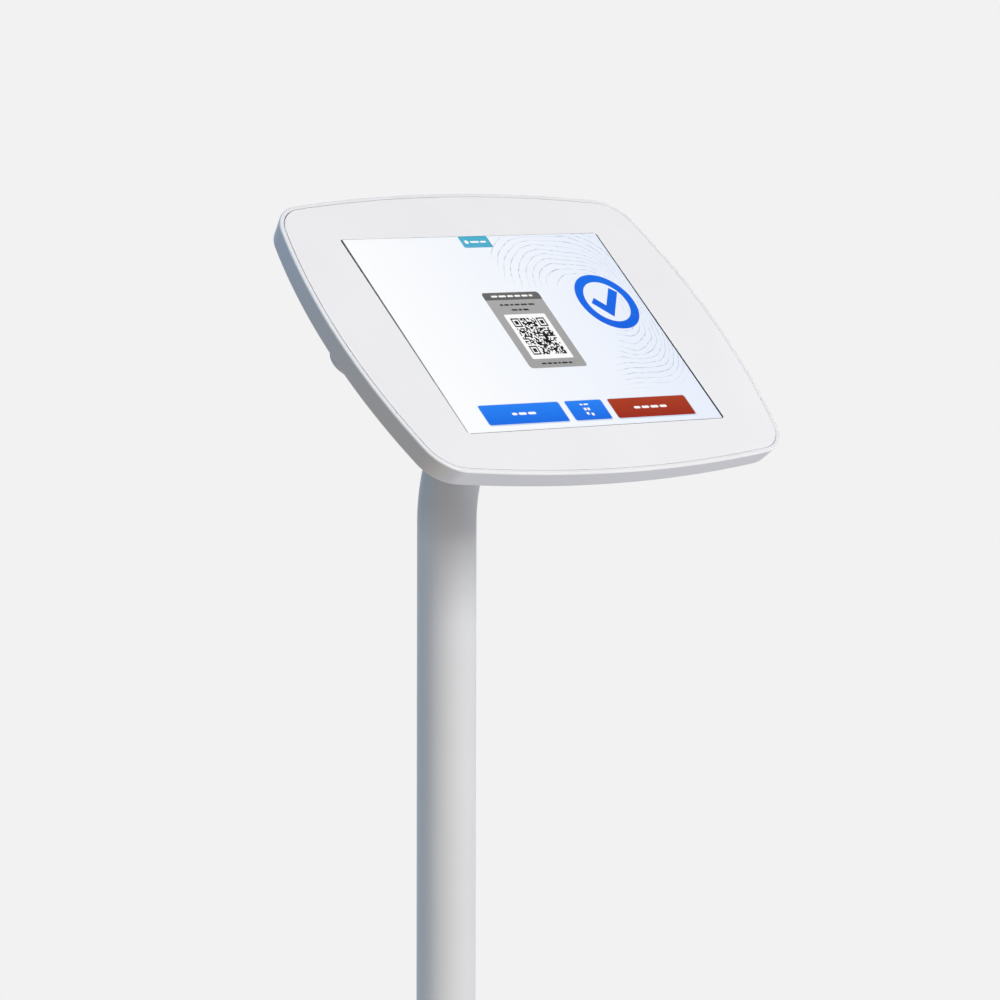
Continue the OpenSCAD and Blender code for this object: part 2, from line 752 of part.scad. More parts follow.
// Cam, drawn open: it points up along the screen
module lock_cam() {
  tip_y = cam_len - cam_w / 2;
  color([0.70, 0.71, 0.73]) in_head() translate([-lock_x, 0, cam_z]) difference() {
    union() {
      cylinder(h = cam_t, r = cam_eye_r);
      translate([-cam_w / 2, 0, 0]) cube([cam_w, tip_y, cam_t]);
      translate([0, tip_y, 0]) cylinder(h = cam_t, r = cam_w / 2);
    }
    slab(cam_square + 2 * snug, cam_square + 2 * snug, -cut, cam_t + cut);
  }
}

module cam_screw() {
  color([0.60, 0.61, 0.63]) in_head() translate([-lock_x, 0, cam_z + cam_t]) difference() {
    union() {
      cylinder(h = 1.5, r = 4);
      translate([0, 0, -6]) cylinder(h = 6, r = 1.5);
    }
    translate([0, 0, 0.7]) slab(5, 0.9, 0, 2);
  }
}

// Front plate

module faceplate() {
  color([0.93, 0.93, 0.95]) in_head() difference() {
    union() {
      bow_layer(case_shape, -plate_t, plate_in, -0.4, plate_in);
      bow_layer(case_shape, -0.4, plate_in, 0, plate_in + 0.4);
      translate([hook_x0, -hook_w / 2, hook_low])
        cube([hook_x1 - hook_x0, hook_w, -plate_t + 0.2 - hook_low]);
      translate([hook_x0, -hook_w / 2, hook_low]) cube([hook_tip - hook_x0, hook_w, hook_t]);
    }
    round_block(window_w, window_h, window_r, -plate_t - cut, cut);
    round_block(tablet_w + 2, tablet_h + 2, tablet_r + 1, -plate_t - cut, -lip_t);
    for (y = [-1, 1]) translate([catch_screw_x, y * catch_screw_y, -plate_t - cut])
      cylinder(h = 1.9 + cut, r = 1.25 + snug);
  }
}

// Steel bridge under the front plate: the cam passes above its bar when the lock is shut
module face_catch() {
  color([0.70, 0.71, 0.73]) in_head() difference() {
    union() {
      translate([catch_x0, -catch_leg_y - catch_t, catch_bar_z])
        cube([catch_x1 - catch_x0, 2 * (catch_leg_y + catch_t), catch_t]);
      for (y = [-1, 1]) mirror([0, y < 0 ? 1 : 0, 0]) {
        translate([catch_x0, catch_leg_y, catch_bar_z])
          cube([catch_x1 - catch_x0, catch_t, -plate_t - catch_bar_z]);
        translate([catch_x0, catch_leg_y, -plate_t - catch_t])
          cube([catch_foot_x1 - catch_x0, catch_t + catch_foot, catch_t]);
      }
    }
    for (y = [-1, 1]) translate([catch_screw_x, y * catch_screw_y, -plate_t - catch_t - cut])
      cylinder(h = catch_t + 2 * cut, r = 1.25 + ease);
  }
}

module catch_screws() {
  color([0.60, 0.61, 0.63]) in_head() for (y = [-1, 1])
    translate([catch_screw_x, y * catch_screw_y, -plate_t - catch_t]) difference() {
      union() {
        translate([0, 0, -1.2]) cylinder(h = 1.2, r = 2.4);
        cylinder(h = catch_t + 1.6, r = 1.25);
      }
      translate([0, 0, -1.2 - cut]) cylinder(h = cut + 0.8, r = 0.9, $fn = 6);
    }
}

// Tablet

module tablet_housing() {
  color([0.76, 0.77, 0.79]) in_head() difference() {
    round_block(tablet_w, tablet_h, tablet_r, tablet_back, panel_z);
    round_block(
      tablet_w - 2 * tray_wall, tablet_h - 2 * tray_wall, tablet_r - tray_wall,
      tray_floor, panel_z + cut
    );
    translate([tablet_w / 2 - 3, -4.7, port_z - 1.7]) cube([3 + cut, 9.4, 3.4]);
    translate([-tablet_w / 2 - cut, power_y - power_len / 2 - ease, edge_button_z - 1.3])
      cube([tray_wall + 2 * cut, power_len + 2 * ease, side_button_t + 2 * ease]);
    for (x = volume_x)
      translate([x - volume_len / 2 - ease, tablet_h / 2 - tray_wall - cut, edge_button_z - 1.3])
        cube([volume_len + 2 * ease, tray_wall + 2 * cut, side_button_t + 2 * ease]);
  }
}

module tablet_glass() {
  color([0.05, 0.05, 0.06]) in_head() difference() {
    round_block(tablet_w - 1, tablet_h - 1, tablet_r - 0.5, panel_z, glass_z);
    translate([home_x, 0, panel_z - cut]) cylinder(h = 4, r = home_d / 2 + 0.05);
  }
}

module tablet_display() {
  color([0.90, 0.94, 0.99]) in_head() slab(panel_w, panel_h, panel_z - 1.6, panel_z);
}

module tablet_battery() {
  color([0.22, 0.22, 0.24]) in_head() for (x = [-1, 1])
    translate([x * (cell_gap + cell_w) / 2, 0, 0])
      slab(cell_w, cell_h, tray_floor, tray_floor + cell_t);
}

module tablet_board() {
  chip_w = board_w - 2 * chip_in;
  board_top = tray_floor + board_t;
  color([0.10, 0.30, 0.18]) in_head() translate([board_x, 0, 0]) {
    slab(board_w, board_h, tray_floor, board_top);
    translate([0, board_h * 2 / 13, 0])
      slab(chip_w, board_h * 6 / 13, board_top, board_top + chip_t);
    translate([0, -board_h * 3.5 / 13, 0])
      slab(chip_w, board_h * 3.4 / 13, board_top, board_top + chip_t - 0.4);
  }
}

// Round button that its flange keeps under the glass
module home_button() {
  color([0.12, 0.12, 0.13]) in_head() translate([home_x, 0, 0]) {
    translate([0, 0, panel_z - 0.05]) cylinder(
      h = glass_z - home_sink - panel_z + 0.05, r = home_d / 2);
    translate([0, 0, panel_z - 1.25]) cylinder(h = 1.2, r = home_d / 2 + button_flange);
  }
}

// Side button: a bar through the tray's wall with a wider plate inside it
module side_button(len) {
  slab(len, side_button_t, -tray_wall - 0.05, side_button_out);
  slab(len + 2 * button_flange, side_button_t + 0.8, -tray_wall - 0.65, -tray_wall - 0.05);
}

module power_button() {
  color([0.74, 0.75, 0.77]) in_head()
    translate([-tablet_w / 2, power_y, edge_button_z]) rotate([0, -90, 0]) rotate([0, 0, 90])
      side_button(power_len);
}

module volume_button(x) {
  color([0.74, 0.75, 0.77]) in_head()
    translate([x, tablet_h / 2, edge_button_z]) rotate([-90, 0, 0]) side_button(volume_len);
}

// Right-angled plug: its tongue is in the tablet, and the lead leaves it downwards
module charge_plug() {
  color([0.14, 0.14, 0.15]) in_head() {
    translate([plug_x, -plug_d / 2, lead_z - relief_r])
      cube([plug_w, plug_d, plug_top - lead_z + relief_r]);
    translate([tablet_w / 2 - 2.4, -4.2, port_z - 1.3]) cube([2.6, 8.4, 2.6]);
    translate([lead_x, -plug_d / 2, lead_z]) rotate([90, 0, 0])
      cylinder(h = relief_len, r1 = relief_r, r2 = lead_r + 0.2);
  }
}

base_plate();
foot_pad(1);  // foot_pad_1
foot_pad(2);  // foot_pad_2
foot_pad(3);  // foot_pad_3
foot_pad(4);  // foot_pad_4
foot_flange();
flange_bolts();
post_tube();
inlet_socket();
inlet_nut();
charge_lead();
mount_plate();
plate_grommet();
rear_shell();
mount_screws();
mount_washers();
corner_bumper(1);  // corner_bumper_1
corner_bumper(2);  // corner_bumper_2
corner_bumper(3);  // corner_bumper_3
corner_bumper(4);  // corner_bumper_4
back_pad(1);  // back_pad_1
back_pad(2);  // back_pad_2
back_pad(3);  // back_pad_3
back_pad(4);  // back_pad_4
lock_housing();
lock_nut();
lock_core();
lock_cam();
cam_screw();
faceplate();
face_catch();
catch_screws();
lead_clip();
clip_screw();
tablet_housing();
tablet_glass();
tablet_display();
tablet_battery();
tablet_board();
home_button();
power_button();
volume_button(volume_x[0]);  // volume_up
volume_button(volume_x[1]);  // volume_down
charge_plug();
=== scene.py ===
"""Floor-standing tablet stand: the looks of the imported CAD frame, its stage and its light.

Shapes are written in millimetres, and Form.make turns them into metres. The head has a frame
of its own, placed by HEAD: x to the right, v up the slope of the screen and n out of it.
"""

import json
import math
import random

import bmesh
import bpy
import numpy as np
from mathutils import Matrix, Vector
from mathutils.geometry import tessellate_polygon

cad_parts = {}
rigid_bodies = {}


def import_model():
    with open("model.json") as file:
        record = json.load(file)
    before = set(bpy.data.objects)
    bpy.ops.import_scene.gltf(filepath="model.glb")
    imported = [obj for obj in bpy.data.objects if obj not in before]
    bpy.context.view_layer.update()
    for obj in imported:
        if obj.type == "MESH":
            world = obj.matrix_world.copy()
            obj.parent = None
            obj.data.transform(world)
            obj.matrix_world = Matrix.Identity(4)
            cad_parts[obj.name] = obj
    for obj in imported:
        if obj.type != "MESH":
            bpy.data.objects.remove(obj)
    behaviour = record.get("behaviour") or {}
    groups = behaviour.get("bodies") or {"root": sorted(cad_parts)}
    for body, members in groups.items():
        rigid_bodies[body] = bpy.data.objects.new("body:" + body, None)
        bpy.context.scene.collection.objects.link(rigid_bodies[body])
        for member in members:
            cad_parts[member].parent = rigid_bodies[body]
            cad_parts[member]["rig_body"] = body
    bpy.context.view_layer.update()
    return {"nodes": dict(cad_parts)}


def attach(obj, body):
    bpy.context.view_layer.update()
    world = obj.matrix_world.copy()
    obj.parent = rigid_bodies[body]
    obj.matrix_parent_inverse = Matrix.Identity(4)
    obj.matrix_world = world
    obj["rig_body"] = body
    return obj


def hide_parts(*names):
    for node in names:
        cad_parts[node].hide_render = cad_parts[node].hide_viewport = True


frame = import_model()
nodes = frame["nodes"]

MM = 0.001
TILT = math.radians(44)
POST_Y, BEND_R, BEND_Z = 60.0, 100.0, 930.254
HEAD_REACH, HEAD_Z = 110.3, 1050
HEAD_AT = Vector((0, POST_Y - HEAD_REACH * math.sin(TILT), HEAD_Z)) * MM
AX = Vector((1, 0, 0))
AV = Vector((0, math.cos(TILT), math.sin(TILT)))
AN = Vector((0, -math.sin(TILT), math.cos(TILT)))
HEAD = Matrix.Translation(HEAD_AT) @ Matrix((
    (1, 0, 0, 0), (0, AV.y, AN.y, 0), (0, AV.z, AN.z, 0), (0, 0, 0, 1)))


# ---------------------------------------------------------------- camera

CAM_ANGLES = (42.8624, 4.8290, 0.15246)
HEAD_IN_VIEW = (20.2596, 100.7569, 2958.0196)
SENSOR, LENS = 36, 180


def make_camera():
    """The photograph's camera, from its three angles and the head's place in its view."""
    phi, down, roll = (math.radians(a) for a in CAM_ANGLES)
    fwd = Vector((math.sin(phi) * math.cos(down), math.cos(phi) * math.cos(down),
                  -math.sin(down)))
    right0 = Vector((math.cos(phi), -math.sin(phi), 0))
    up0 = right0.cross(fwd)
    right = right0 * math.cos(roll) + up0 * math.sin(roll)
    up = up0 * math.cos(roll) - right0 * math.sin(roll)
    aside, above, ahead = HEAD_IN_VIEW
    at = HEAD_AT - (right * aside + up * above + fwd * ahead) * MM
    data = bpy.data.cameras.new("camera")
    data.sensor_width, data.lens = SENSOR, LENS
    data.clip_start, data.clip_end = 0.05, 100
    cam = bpy.data.objects.new("camera", data)
    cam.matrix_world = Matrix((
        (right.x, up.x, -fwd.x, at.x), (right.y, up.y, -fwd.y, at.y),
        (right.z, up.z, -fwd.z, at.z), (0, 0, 0, 1)))
    bpy.context.scene.collection.objects.link(cam)
    bpy.context.scene.camera = cam


make_camera()


# ---------------------------------------------------------------- colours

def lin(c):
    """Linear colour from an 8-bit one."""
    out = []
    for x in c:
        x /= 255
        out.append(x / 12.92 if x <= 0.04045 else ((x + 0.055) / 1.055) ** 2.4)
    return (*out, 1.0)


# ---------------------------------------------------------------- mesh tools

def rounded(poly, steps=6, closed=False):
    """Points along a flat polyline of (a, b) or (a, b, radius), with its corners rounded."""
    n, out = len(poly), []
    for i, p in enumerate(poly):
        r = p[2] if len(p) > 2 else 0
        c = Vector(p[:2])
        if not r or (not closed and i in (0, n - 1)):
            out.append((c.x, c.y))
            continue
        u = (Vector(poly[i - 1][:2]) - c).normalized()
        w = (Vector(poly[(i + 1) % n][:2]) - c).normalized()
        turn = math.pi - u.angle(w)
        if turn < 0.02:
            out.append((c.x, c.y))
            continue
        leg = r * math.tan(turn / 2)
        centre = c + (u + w).normalized() * (r / math.cos(turn / 2))
        a, b = c + u * leg - centre, c + w * leg - centre
        k = max(2, round(steps * turn / (math.pi / 2)))
        for j in range(k + 1):
            t = j / k
            s = math.sin(turn)
            q = a * (math.sin((1 - t) * turn) / s) + b * (math.sin(t * turn) / s)
            out.append(tuple(centre + q))
    return out


def bow(shape, inset, n=20):
    """Bowed outline with round corners.

    The shape is half width, half height, the two bow radii and the corner radius.
    """
    a, b, r1, r2, rc = (x - inset for x in shape)
    rc = max(rc, 0.5)
    c1, c2 = Vector((a - r1, 0)), Vector((0, b - r2))
    d = (c2 - c1).length
    e = (c2 - c1) / d
    q1, q2 = r1 - rc, r2 - rc
    k = (q1 * q1 - q2 * q2 + d * d) / (2 * d)
    h = math.sqrt(max(q1 * q1 - k * k, 0))
    side = Vector((-e.y, e.x))
    c = max((c1 + e * k + side * h, c1 + e * k - side * h), key=lambda q: q.x + q.y)
    a1 = math.atan2(c.y - c1.y, c.x - c1.x)
    a2 = math.atan2(c.y - c2.y, c.x - c2.x)
    q = []
    for centre, r, t0, t1 in ((c1, r1, 0, a1), (c, rc, a1, a2), (c2, r2, a2, math.pi / 2)):
        for j in range(n):
            t = t0 + (t1 - t0) * j / n
            q.append((centre.x + r * math.cos(t), centre.y + r * math.sin(t)))
    q.append((0.0, b))
    return (q + [(-x, y) for x, y in q[-2::-1]] + [(-x, -y) for x, y in q[1:]]
            + [(x, -y) for x, y in q[-2:0:-1]])


def rrect(w, h, r, x=0.0, y=0.0, n=8):
    """Round-cornered rectangle, anticlockwise."""
    out = []
    for i, (sx, sy) in enumerate(((1, 1), (-1, 1), (-1, -1), (1, -1))):
        for j in range(n + 1):
            t = (i + j / n) * math.pi / 2
            out.append((x + sx * (w / 2 - r) + r * math.cos(t),
                        y + sy * (h / 2 - r) + r * math.sin(t)))
    return out


def circle(r, x=0.0, y=0.0, n=48):
    return [(x + r * math.cos(2 * math.pi * i / n),
             y + r * math.sin(2 * math.pi * i / n)) for i in range(n)]


def about(x, y, n):
    """Section for Form.loft: circles about x, y whose radius is the offset."""
    return lambda r: circle(r, x, y, n)


class Form:
    """A closed mesh, collected in millimetres from rings, bands between them and flat caps."""

    def __init__(self):
        self.v, self.f, self.m = [], [], []
        self.turn, self.shift = 0.0, (0.0, 0.0)

    def ring(self, flat, z):
        i = len(self.v)
        c, s = math.cos(self.turn), math.sin(self.turn)
        self.v += [(x * c - y * s + self.shift[0], x * s + y * c + self.shift[1], z)
                   for x, y in flat]
        return list(range(i, i + len(flat)))

    def ring3(self, pts):
        i = len(self.v)
        self.v += [tuple(p) for p in pts]
        return list(range(i, i + len(pts)))

    def band(self, a, b):
        n = len(a)
        for i in range(n):
            j = (i + 1) % n
            self.f.append((a[i], a[j], b[j], b[i]))
            self.m.append(0)

    def bands(self, rings):
        for a, b in zip(rings, rings[1:]):
            self.band(a, b)

    def cap(self, outer, holes=(), mat=0):
        loops = [outer, *holes]
        for t in tessellate_polygon([[Vector(self.v[i]) for i in lp] for lp in loops]):
            flat = [i for lp in loops for i in lp]
            self.f.append(tuple(flat[k] for k in t))
            self.m.append(mat)

    def loft(self, section, prof):
        """Rings of section(offset) at each (offset, z) of a profile, joined by bands."""
        rings = [self.ring(section(o), z) for o, z in prof]
        self.bands(rings)
        return rings

    def slab(self, flat, z0, z1, edge=0.0):
        """Upright block of an outline, with edges rounded by scaling towards its middle."""
        cx = sum(p[0] for p in flat) / len(flat)
        cy = sum(p[1] for p in flat) / len(flat)
        hx = max(abs(p[0] - cx) for p in flat)
        hy = max(abs(p[1] - cy) for p in flat)

        def at(o, z):
            return self.ring([(cx + (x - cx) * (1 - o / hx), cy + (y - cy) * (1 - o / hy))
                              for x, y in flat], z)
        if edge:
            turn = [math.pi / 2 * k / 3 for k in range(4)]
            prof = [(edge * (1 - math.sin(t)), z0 + edge * (1 - math.cos(t))) for t in turn]
            prof += [(edge * (1 - math.cos(t)), z1 - edge * (1 - math.sin(t))) for t in turn]
        else:
            prof = [(0, z0), (0, z1)]
        rings = [at(o, z) for o, z in prof]
        self.bands(rings)
        self.cap(rings[0])
        self.cap(rings[-1])

    def make(self, name, mats, place=None, limit=38.0):
        """The object, with every face turned outwards; the limit is shade's."""
        me = bpy.data.meshes.new(name)
        me.from_pydata([tuple(c * MM for c in p) for p in self.v], [], self.f)
        for m in mats:
            me.materials.append(m)
        me.polygons.foreach_set("material_index", self.m)
        bm = bmesh.new()
        bm.from_mesh(me)
        bmesh.ops.remove_doubles(bm, verts=bm.verts, dist=2e-7)
        bmesh.ops.recalc_face_normals(bm, faces=bm.faces)
        bm.to_mesh(me)
        bm.free()
        shade(me, limit)
        o = bpy.data.objects.new(name, me)
        if place is not None:
            o.matrix_world = place
        bpy.context.scene.collection.objects.link(o)
        return o


def shade(me, limit=38.0):
    """Smooth normals that lean to the larger faces, so a flat face stays flat by a fillet.

    Faces that meet at more than the limit in degrees keep a sharp edge between them.
    """
    me.polygons.foreach_set("use_smooth", [True] * len(me.polygons))
    normals = np.zeros(len(me.polygons) * 3, np.float32)
    me.polygons.foreach_get("normal", normals)
    normals = normals.reshape(-1, 3).astype(float)
    area = np.zeros(len(me.polygons), np.float32)
    me.polygons.foreach_get("area", area)
    area = area.astype(float) + 1e-15
    corner = np.zeros(len(me.loops), np.int32)
    me.loops.foreach_get("vertex_index", corner)
    face = np.zeros(len(me.loops), np.int32)
    for p in me.polygons:
        face[p.loop_start:p.loop_start + p.loop_total] = p.index
    at = {}
    for k in range(len(corner)):
        at.setdefault(int(corner[k]), []).append(int(face[k]))
    cos = math.cos(math.radians(limit))
    out = np.zeros((len(corner), 3))
    for k in range(len(corner)):
        near = at[int(corner[k])]
        n0 = normals[face[k]]
        ns = normals[near]
        w = np.where(ns @ n0 > cos, area[near], 0.0)
        s = (ns * w[:, None]).sum(0)
        length = np.linalg.norm(s)
        out[k] = s / length if length > 1e-20 else n0
    me.normals_split_custom_set([tuple(x) for x in out])


def carve(obj, cutters):
    """Takes other meshes out of obj's mesh, then shades it again."""
    for c in cutters:
        mod = obj.modifiers.new("cut", "BOOLEAN")
        mod.operation, mod.solver, mod.object = "DIFFERENCE", "EXACT", c
    bpy.context.view_layer.update()
    dg = bpy.context.evaluated_depsgraph_get()
    me = bpy.data.meshes.new_from_object(obj.evaluated_get(dg))
    obj.modifiers.clear()
    obj.data = me
    shade(me)
    for c in cutters:
        bpy.data.objects.remove(c)


def soften(node, name, width, mat):
    """A piece with the shape of a CAD node and rounded edges, which stands for that node."""
    src = nodes[node]
    bm = bmesh.new()
    bm.from_mesh(src.data)
    bmesh.ops.remove_doubles(bm, verts=bm.verts, dist=1e-6)
    bmesh.ops.dissolve_limit(bm, angle_limit=math.radians(0.5), verts=bm.verts,
                             edges=bm.edges)
    hard = [e for e in bm.edges if len(e.link_faces) == 2
            and e.calc_face_angle(0) > math.radians(40)]
    bmesh.ops.bevel(bm, geom=hard, offset=width * MM, segments=3, profile=0.5,
                    affect="EDGES", clamp_overlap=True, offset_type="OFFSET")
    bmesh.ops.recalc_face_normals(bm, faces=bm.faces)
    me = bpy.data.meshes.new(name)
    bm.to_mesh(me)
    bm.free()
    me.materials.clear()
    me.materials.append(mat)
    me.polygons.foreach_set("material_index", [0] * len(me.polygons))
    shade(me, 50)
    o = bpy.data.objects.new(name, me)
    bpy.context.scene.collection.objects.link(o)
    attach(o, src["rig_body"])
    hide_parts(node)
    return o


# ---------------------------------------------------------------- materials

class Nodes:
    """Short hand for one material's nodes."""

    def __init__(self, name):
        self.mat = bpy.data.materials.new(name)
        self.mat.use_nodes = True
        self.tree = self.mat.node_tree
        self.shader = self.tree.nodes["Principled BSDF"]
        self.out = self.tree.nodes["Material Output"]
        self.coord = self.add("ShaderNodeTexCoord").outputs["Object"]

    def add(self, kind, **values):
        n = self.tree.nodes.new(kind)
        for k, v in values.items():
            setattr(n, k, v)
        return n

    def link(self, a, b):
        self.tree.links.new(a, b)

    def xyz(self):
        """The object's own x, y and z in metres."""
        n = self.add("ShaderNodeSeparateXYZ")
        self.link(self.coord, n.inputs[0])
        return tuple(n.outputs)

    def scaled(self, scale):
        m = self.add("ShaderNodeMapping")
        m.inputs["Scale"].default_value = scale
        self.link(self.coord, m.inputs["Vector"])
        return m.outputs["Vector"]

    def noise(self, scale, detail=2.0, rough=0.5, vector=None, distort=0.0):
        n = self.add("ShaderNodeTexNoise")
        n.inputs["Scale"].default_value = scale
        n.inputs["Detail"].default_value = detail
        n.inputs["Roughness"].default_value = rough
        n.inputs["Distortion"].default_value = distort
        self.link(vector or self.coord, n.inputs["Vector"])
        return n.outputs["Fac"]

    def cells(self, scale):
        n = self.add("ShaderNodeTexVoronoi")
        n.inputs["Scale"].default_value = scale
        self.link(self.coord, n.inputs["Vector"])
        return n.outputs["Distance"]

    def remap(self, value, a0, a1, b0, b1):
        n = self.add("ShaderNodeMapRange")
        for k, x in zip(("From Min", "From Max", "To Min", "To Max"), (a0, a1, b0, b1)):
            n.inputs[k].default_value = x
        self.link(value, n.inputs["Value"])
        return n.outputs["Result"]

    def mix(self, fac, a, b):
        n = self.add("ShaderNodeMix", data_type="RGBA")
        self.link(fac, n.inputs["Factor"])
        for s, x in ((n.inputs[6], a), (n.inputs[7], b)):
            if isinstance(x, tuple):
                s.default_value = x
            else:
                self.link(x, s)
        return n.outputs[2]

    def math(self, op, a, b=None, c=None):
        n = self.add("ShaderNodeMath", operation=op)
        for s, x in zip(n.inputs, (a, b, c)):
            if x is None:
                continue
            if isinstance(x, (int, float)):
                s.default_value = x
            else:
                self.link(x, s)
        return n.outputs[0]

    def bump(self, height, strength, distance):
        """Bump on the shader's normal."""
        n = self.add("ShaderNodeBump")
        n.inputs["Strength"].default_value = strength
        n.inputs["Distance"].default_value = distance
        self.link(height, n.inputs["Height"])
        self.link(n.outputs["Normal"], self.shader.inputs["Normal"])

    def set(self, **values):
        for k, v in values.items():
            self.shader.inputs[k.replace("_", " ")].default_value = v

    def lit(self, colour):
        """Makes the material part of the lit picture, in that colour."""
        self.link(colour, self.shader.inputs["Emission Color"])
        self.set(Base_Color=(0.01, 0.01, 0.01, 1), Emission_Strength=1.0, Roughness=0.4,
                 Specular_IOR_Level=0.0)


def shifted(c, k):
    """A colour made k times as light."""
    return tuple(min(1.0, x * k) for x in c[:3]) + (1.0,)


PAINT_TINT = 0.03
# where the case's painted side shade begins, and where its painted light tints at the left end
# lie
SIDE_SHADE_Z, LEFT_TINT_X, LEFT_TINT_Y = (-0.0010, -0.0016), (-0.122, -0.146), (-0.03, 0.08)
# where the post's painted shadow of the head fades in
NECK_SHADE_Z = (0.918, 0.942)


def painted(name, colour, rough, peel, peel_size, coat=0.0, dust=0.0, side=None, ends=None,
            neck=None):
    """Powder coat or satin paint: fine orange peel, faint unevenness of tone and gloss.

    On the case, side is a painted shade: the darker colour behind the front edge, which shades
    the case's sides and back. Ends are painted light, its two tints at the left end, low and
    high: a warm one below and a blue one of skylight above. On the post, neck is how light the
    paint is from the bend up, a painted shadow of the head.
    """
    s = Nodes(name)
    broad = s.noise(9, 3, 0.55)
    col = s.mix(s.remap(broad, 0.3, 0.7, 0, 1), shifted(colour, 1 - PAINT_TINT),
                shifted(colour, 1 + PAINT_TINT * 0.4))
    if dust:
        fine = s.noise(60, 5, 0.65)
        col = s.mix(s.remap(fine, 0.56, 0.8, 0, dust), col, shifted(colour, 0.72))
    # painted shade on the case's sides and back, with painted light tints at its left end:
    # warm low, blue high
    if side:
        x, y, z = s.xyz()
        tone = s.mix(s.remap(x, *LEFT_TINT_X, 0, 1), side, s.mix(s.remap(y, *LEFT_TINT_Y, 0, 1), *ends))
        col = s.mix(s.remap(z, *SIDE_SHADE_Z, 0, 1), col, tone)
    # painted shadow of the head: the post's paint darker from the bend up
    if neck:
        col = s.mix(s.remap(s.xyz()[2], *NECK_SHADE_Z, 0, 1), col, shifted(colour, neck))
    s.link(col, s.shader.inputs["Base Color"])
    smear = s.noise(28, 4, 0.6)
    s.link(s.remap(smear, 0.3, 0.7, rough * 0.9, rough * 1.12), s.shader.inputs["Roughness"])
    s.bump(s.noise(1 / peel_size, 1.5, 0.5), peel, 0.00012)
    s.set(IOR=1.5, Specular_IOR_Level=0.5)
    if coat:
        s.set(Coat_Weight=coat, Coat_Roughness=0.12)
    return s.mat


def moulded(name, colour, rough, grain=0.12, size=0.0005, tint=0.05, spec=0.5):
    """Moulded plastic or rubber with an eroded grain."""
    s = Nodes(name)
    broad = s.noise(30, 3, 0.6)
    col = s.mix(s.remap(broad, 0.3, 0.7, 0, 1), shifted(colour, 1 - tint),
                shifted(colour, 1 + tint))
    s.link(col, s.shader.inputs["Base Color"])
    s.bump(s.cells(1 / size), grain, 0.00008)
    s.link(s.remap(s.noise(90, 3, 0.6), 0.3, 0.7, rough * 0.88, min(1, rough * 1.1)),
           s.shader.inputs["Roughness"])
    s.set(IOR=1.46, Specular_IOR_Level=spec)
    return s.mat


def metal(name, colour, rough, stretch=(1, 1, 40), size=900, tint=0.06, scratch=0.2):
    """Brushed, turned or plated metal: fine lines, stains of gloss, a few scratches."""
    s = Nodes(name)
    lines = s.noise(size, 3, 0.7, s.scaled(stretch))
    stain = s.noise(70, 4, 0.6)
    col = s.mix(s.remap(stain, 0.3, 0.75, 0, 1), shifted(colour, 1 + tint),
                shifted(colour, 1 - tint * 2))
    s.link(col, s.shader.inputs["Base Color"])
    both = s.math("ADD", s.remap(lines, 0.3, 0.7, -0.06, 0.08),
                  s.remap(stain, 0.3, 0.7, rough * 0.85, rough * 1.2))
    s.link(both, s.shader.inputs["Roughness"])
    s.bump(lines, scratch, 0.00003)
    s.set(Metallic=1.0)
    return s.mat


def foam(name, colour):
    """Open-cell foam: dark pores over a soft matt body."""
    s = Nodes(name)
    pores = s.cells(1500)
    s.link(s.mix(s.remap(pores, 0.0, 0.45, 0, 1), shifted(colour, 0.35),
                 shifted(colour, 1.25)), s.shader.inputs["Base Color"])
    s.bump(pores, 0.9, 0.0003)
    s.set(Roughness=0.95, Specular_IOR_Level=0.15, Sheen_Weight=0.25, Sheen_Roughness=0.5)
    return s.mat


def glass(name):
    """Clear glass with faint smears."""
    s = Nodes(name)
    s.link(s.remap(s.noise(14, 4, 0.7), 0.35, 0.75, 0.0, 0.02), s.shader.inputs["Roughness"])
    s.set(Base_Color=(1, 1, 1, 1), Transmission_Weight=1.0, IOR=1.2)
    return s.mat


def board(name):
    """Green laminate with pale copper tracks under it."""
    s = Nodes(name)
    b = s.add("ShaderNodeTexBrick")
    b.inputs["Scale"].default_value = 260
    b.inputs["Mortar Size"].default_value = 0.03
    b.inputs["Color1"].default_value = (0.01, 0.07, 0.03, 1)
    b.inputs["Color2"].default_value = (0.012, 0.09, 0.035, 1)
    b.inputs["Mortar"].default_value = (0.03, 0.16, 0.07, 1)
    s.link(s.coord, b.inputs["Vector"])
    s.link(b.outputs["Color"], s.shader.inputs["Base Color"])
    s.bump(b.outputs["Fac"], 0.4, 0.0001)
    s.set(Roughness=0.35)
    return s.mat


PIXEL = 0.00022


def glow(name, colour, second=None, low=0.0, high=1.0):
    """Part of the lit picture: a colour, or a blend of two up the screen from low to high."""
    s = Nodes(name)
    pixels = s.add("ShaderNodeTexChecker")
    pixels.inputs["Scale"].default_value = 1 / PIXEL
    s.link(s.coord, pixels.inputs["Vector"])
    if second is not None:
        base = s.mix(s.remap(s.xyz()[1], low * MM, high * MM, 0, 1), colour, second)
    else:
        base = s.mix(s.remap(s.noise(120, 2, 0.5), 0.3, 0.7, 0, 1), shifted(colour, 0.99),
                     colour)
    s.lit(s.mix(s.remap(pixels.outputs["Fac"], 0, 1, 0, 0.02), base, (0, 0, 0, 1)))
    return s.mat


# the case's paint, with a painted shade on its sides and back and painted light tints at its
# left end
case_mat = painted("case_satin_white_painted_shade", (0.82, 0.825, 0.84, 1), 0.42, 0.03, 0.0009, 0.3,
                   side=(0.585, 0.602, 0.645, 1),
                   ends=((0.618, 0.600, 0.600, 1), (0.562, 0.614, 0.715, 1)))
plate_mat = painted("front_plate_satin_white", (0.85, 0.855, 0.872, 1), 0.45, 0.025, 0.0009,
                    0.2)
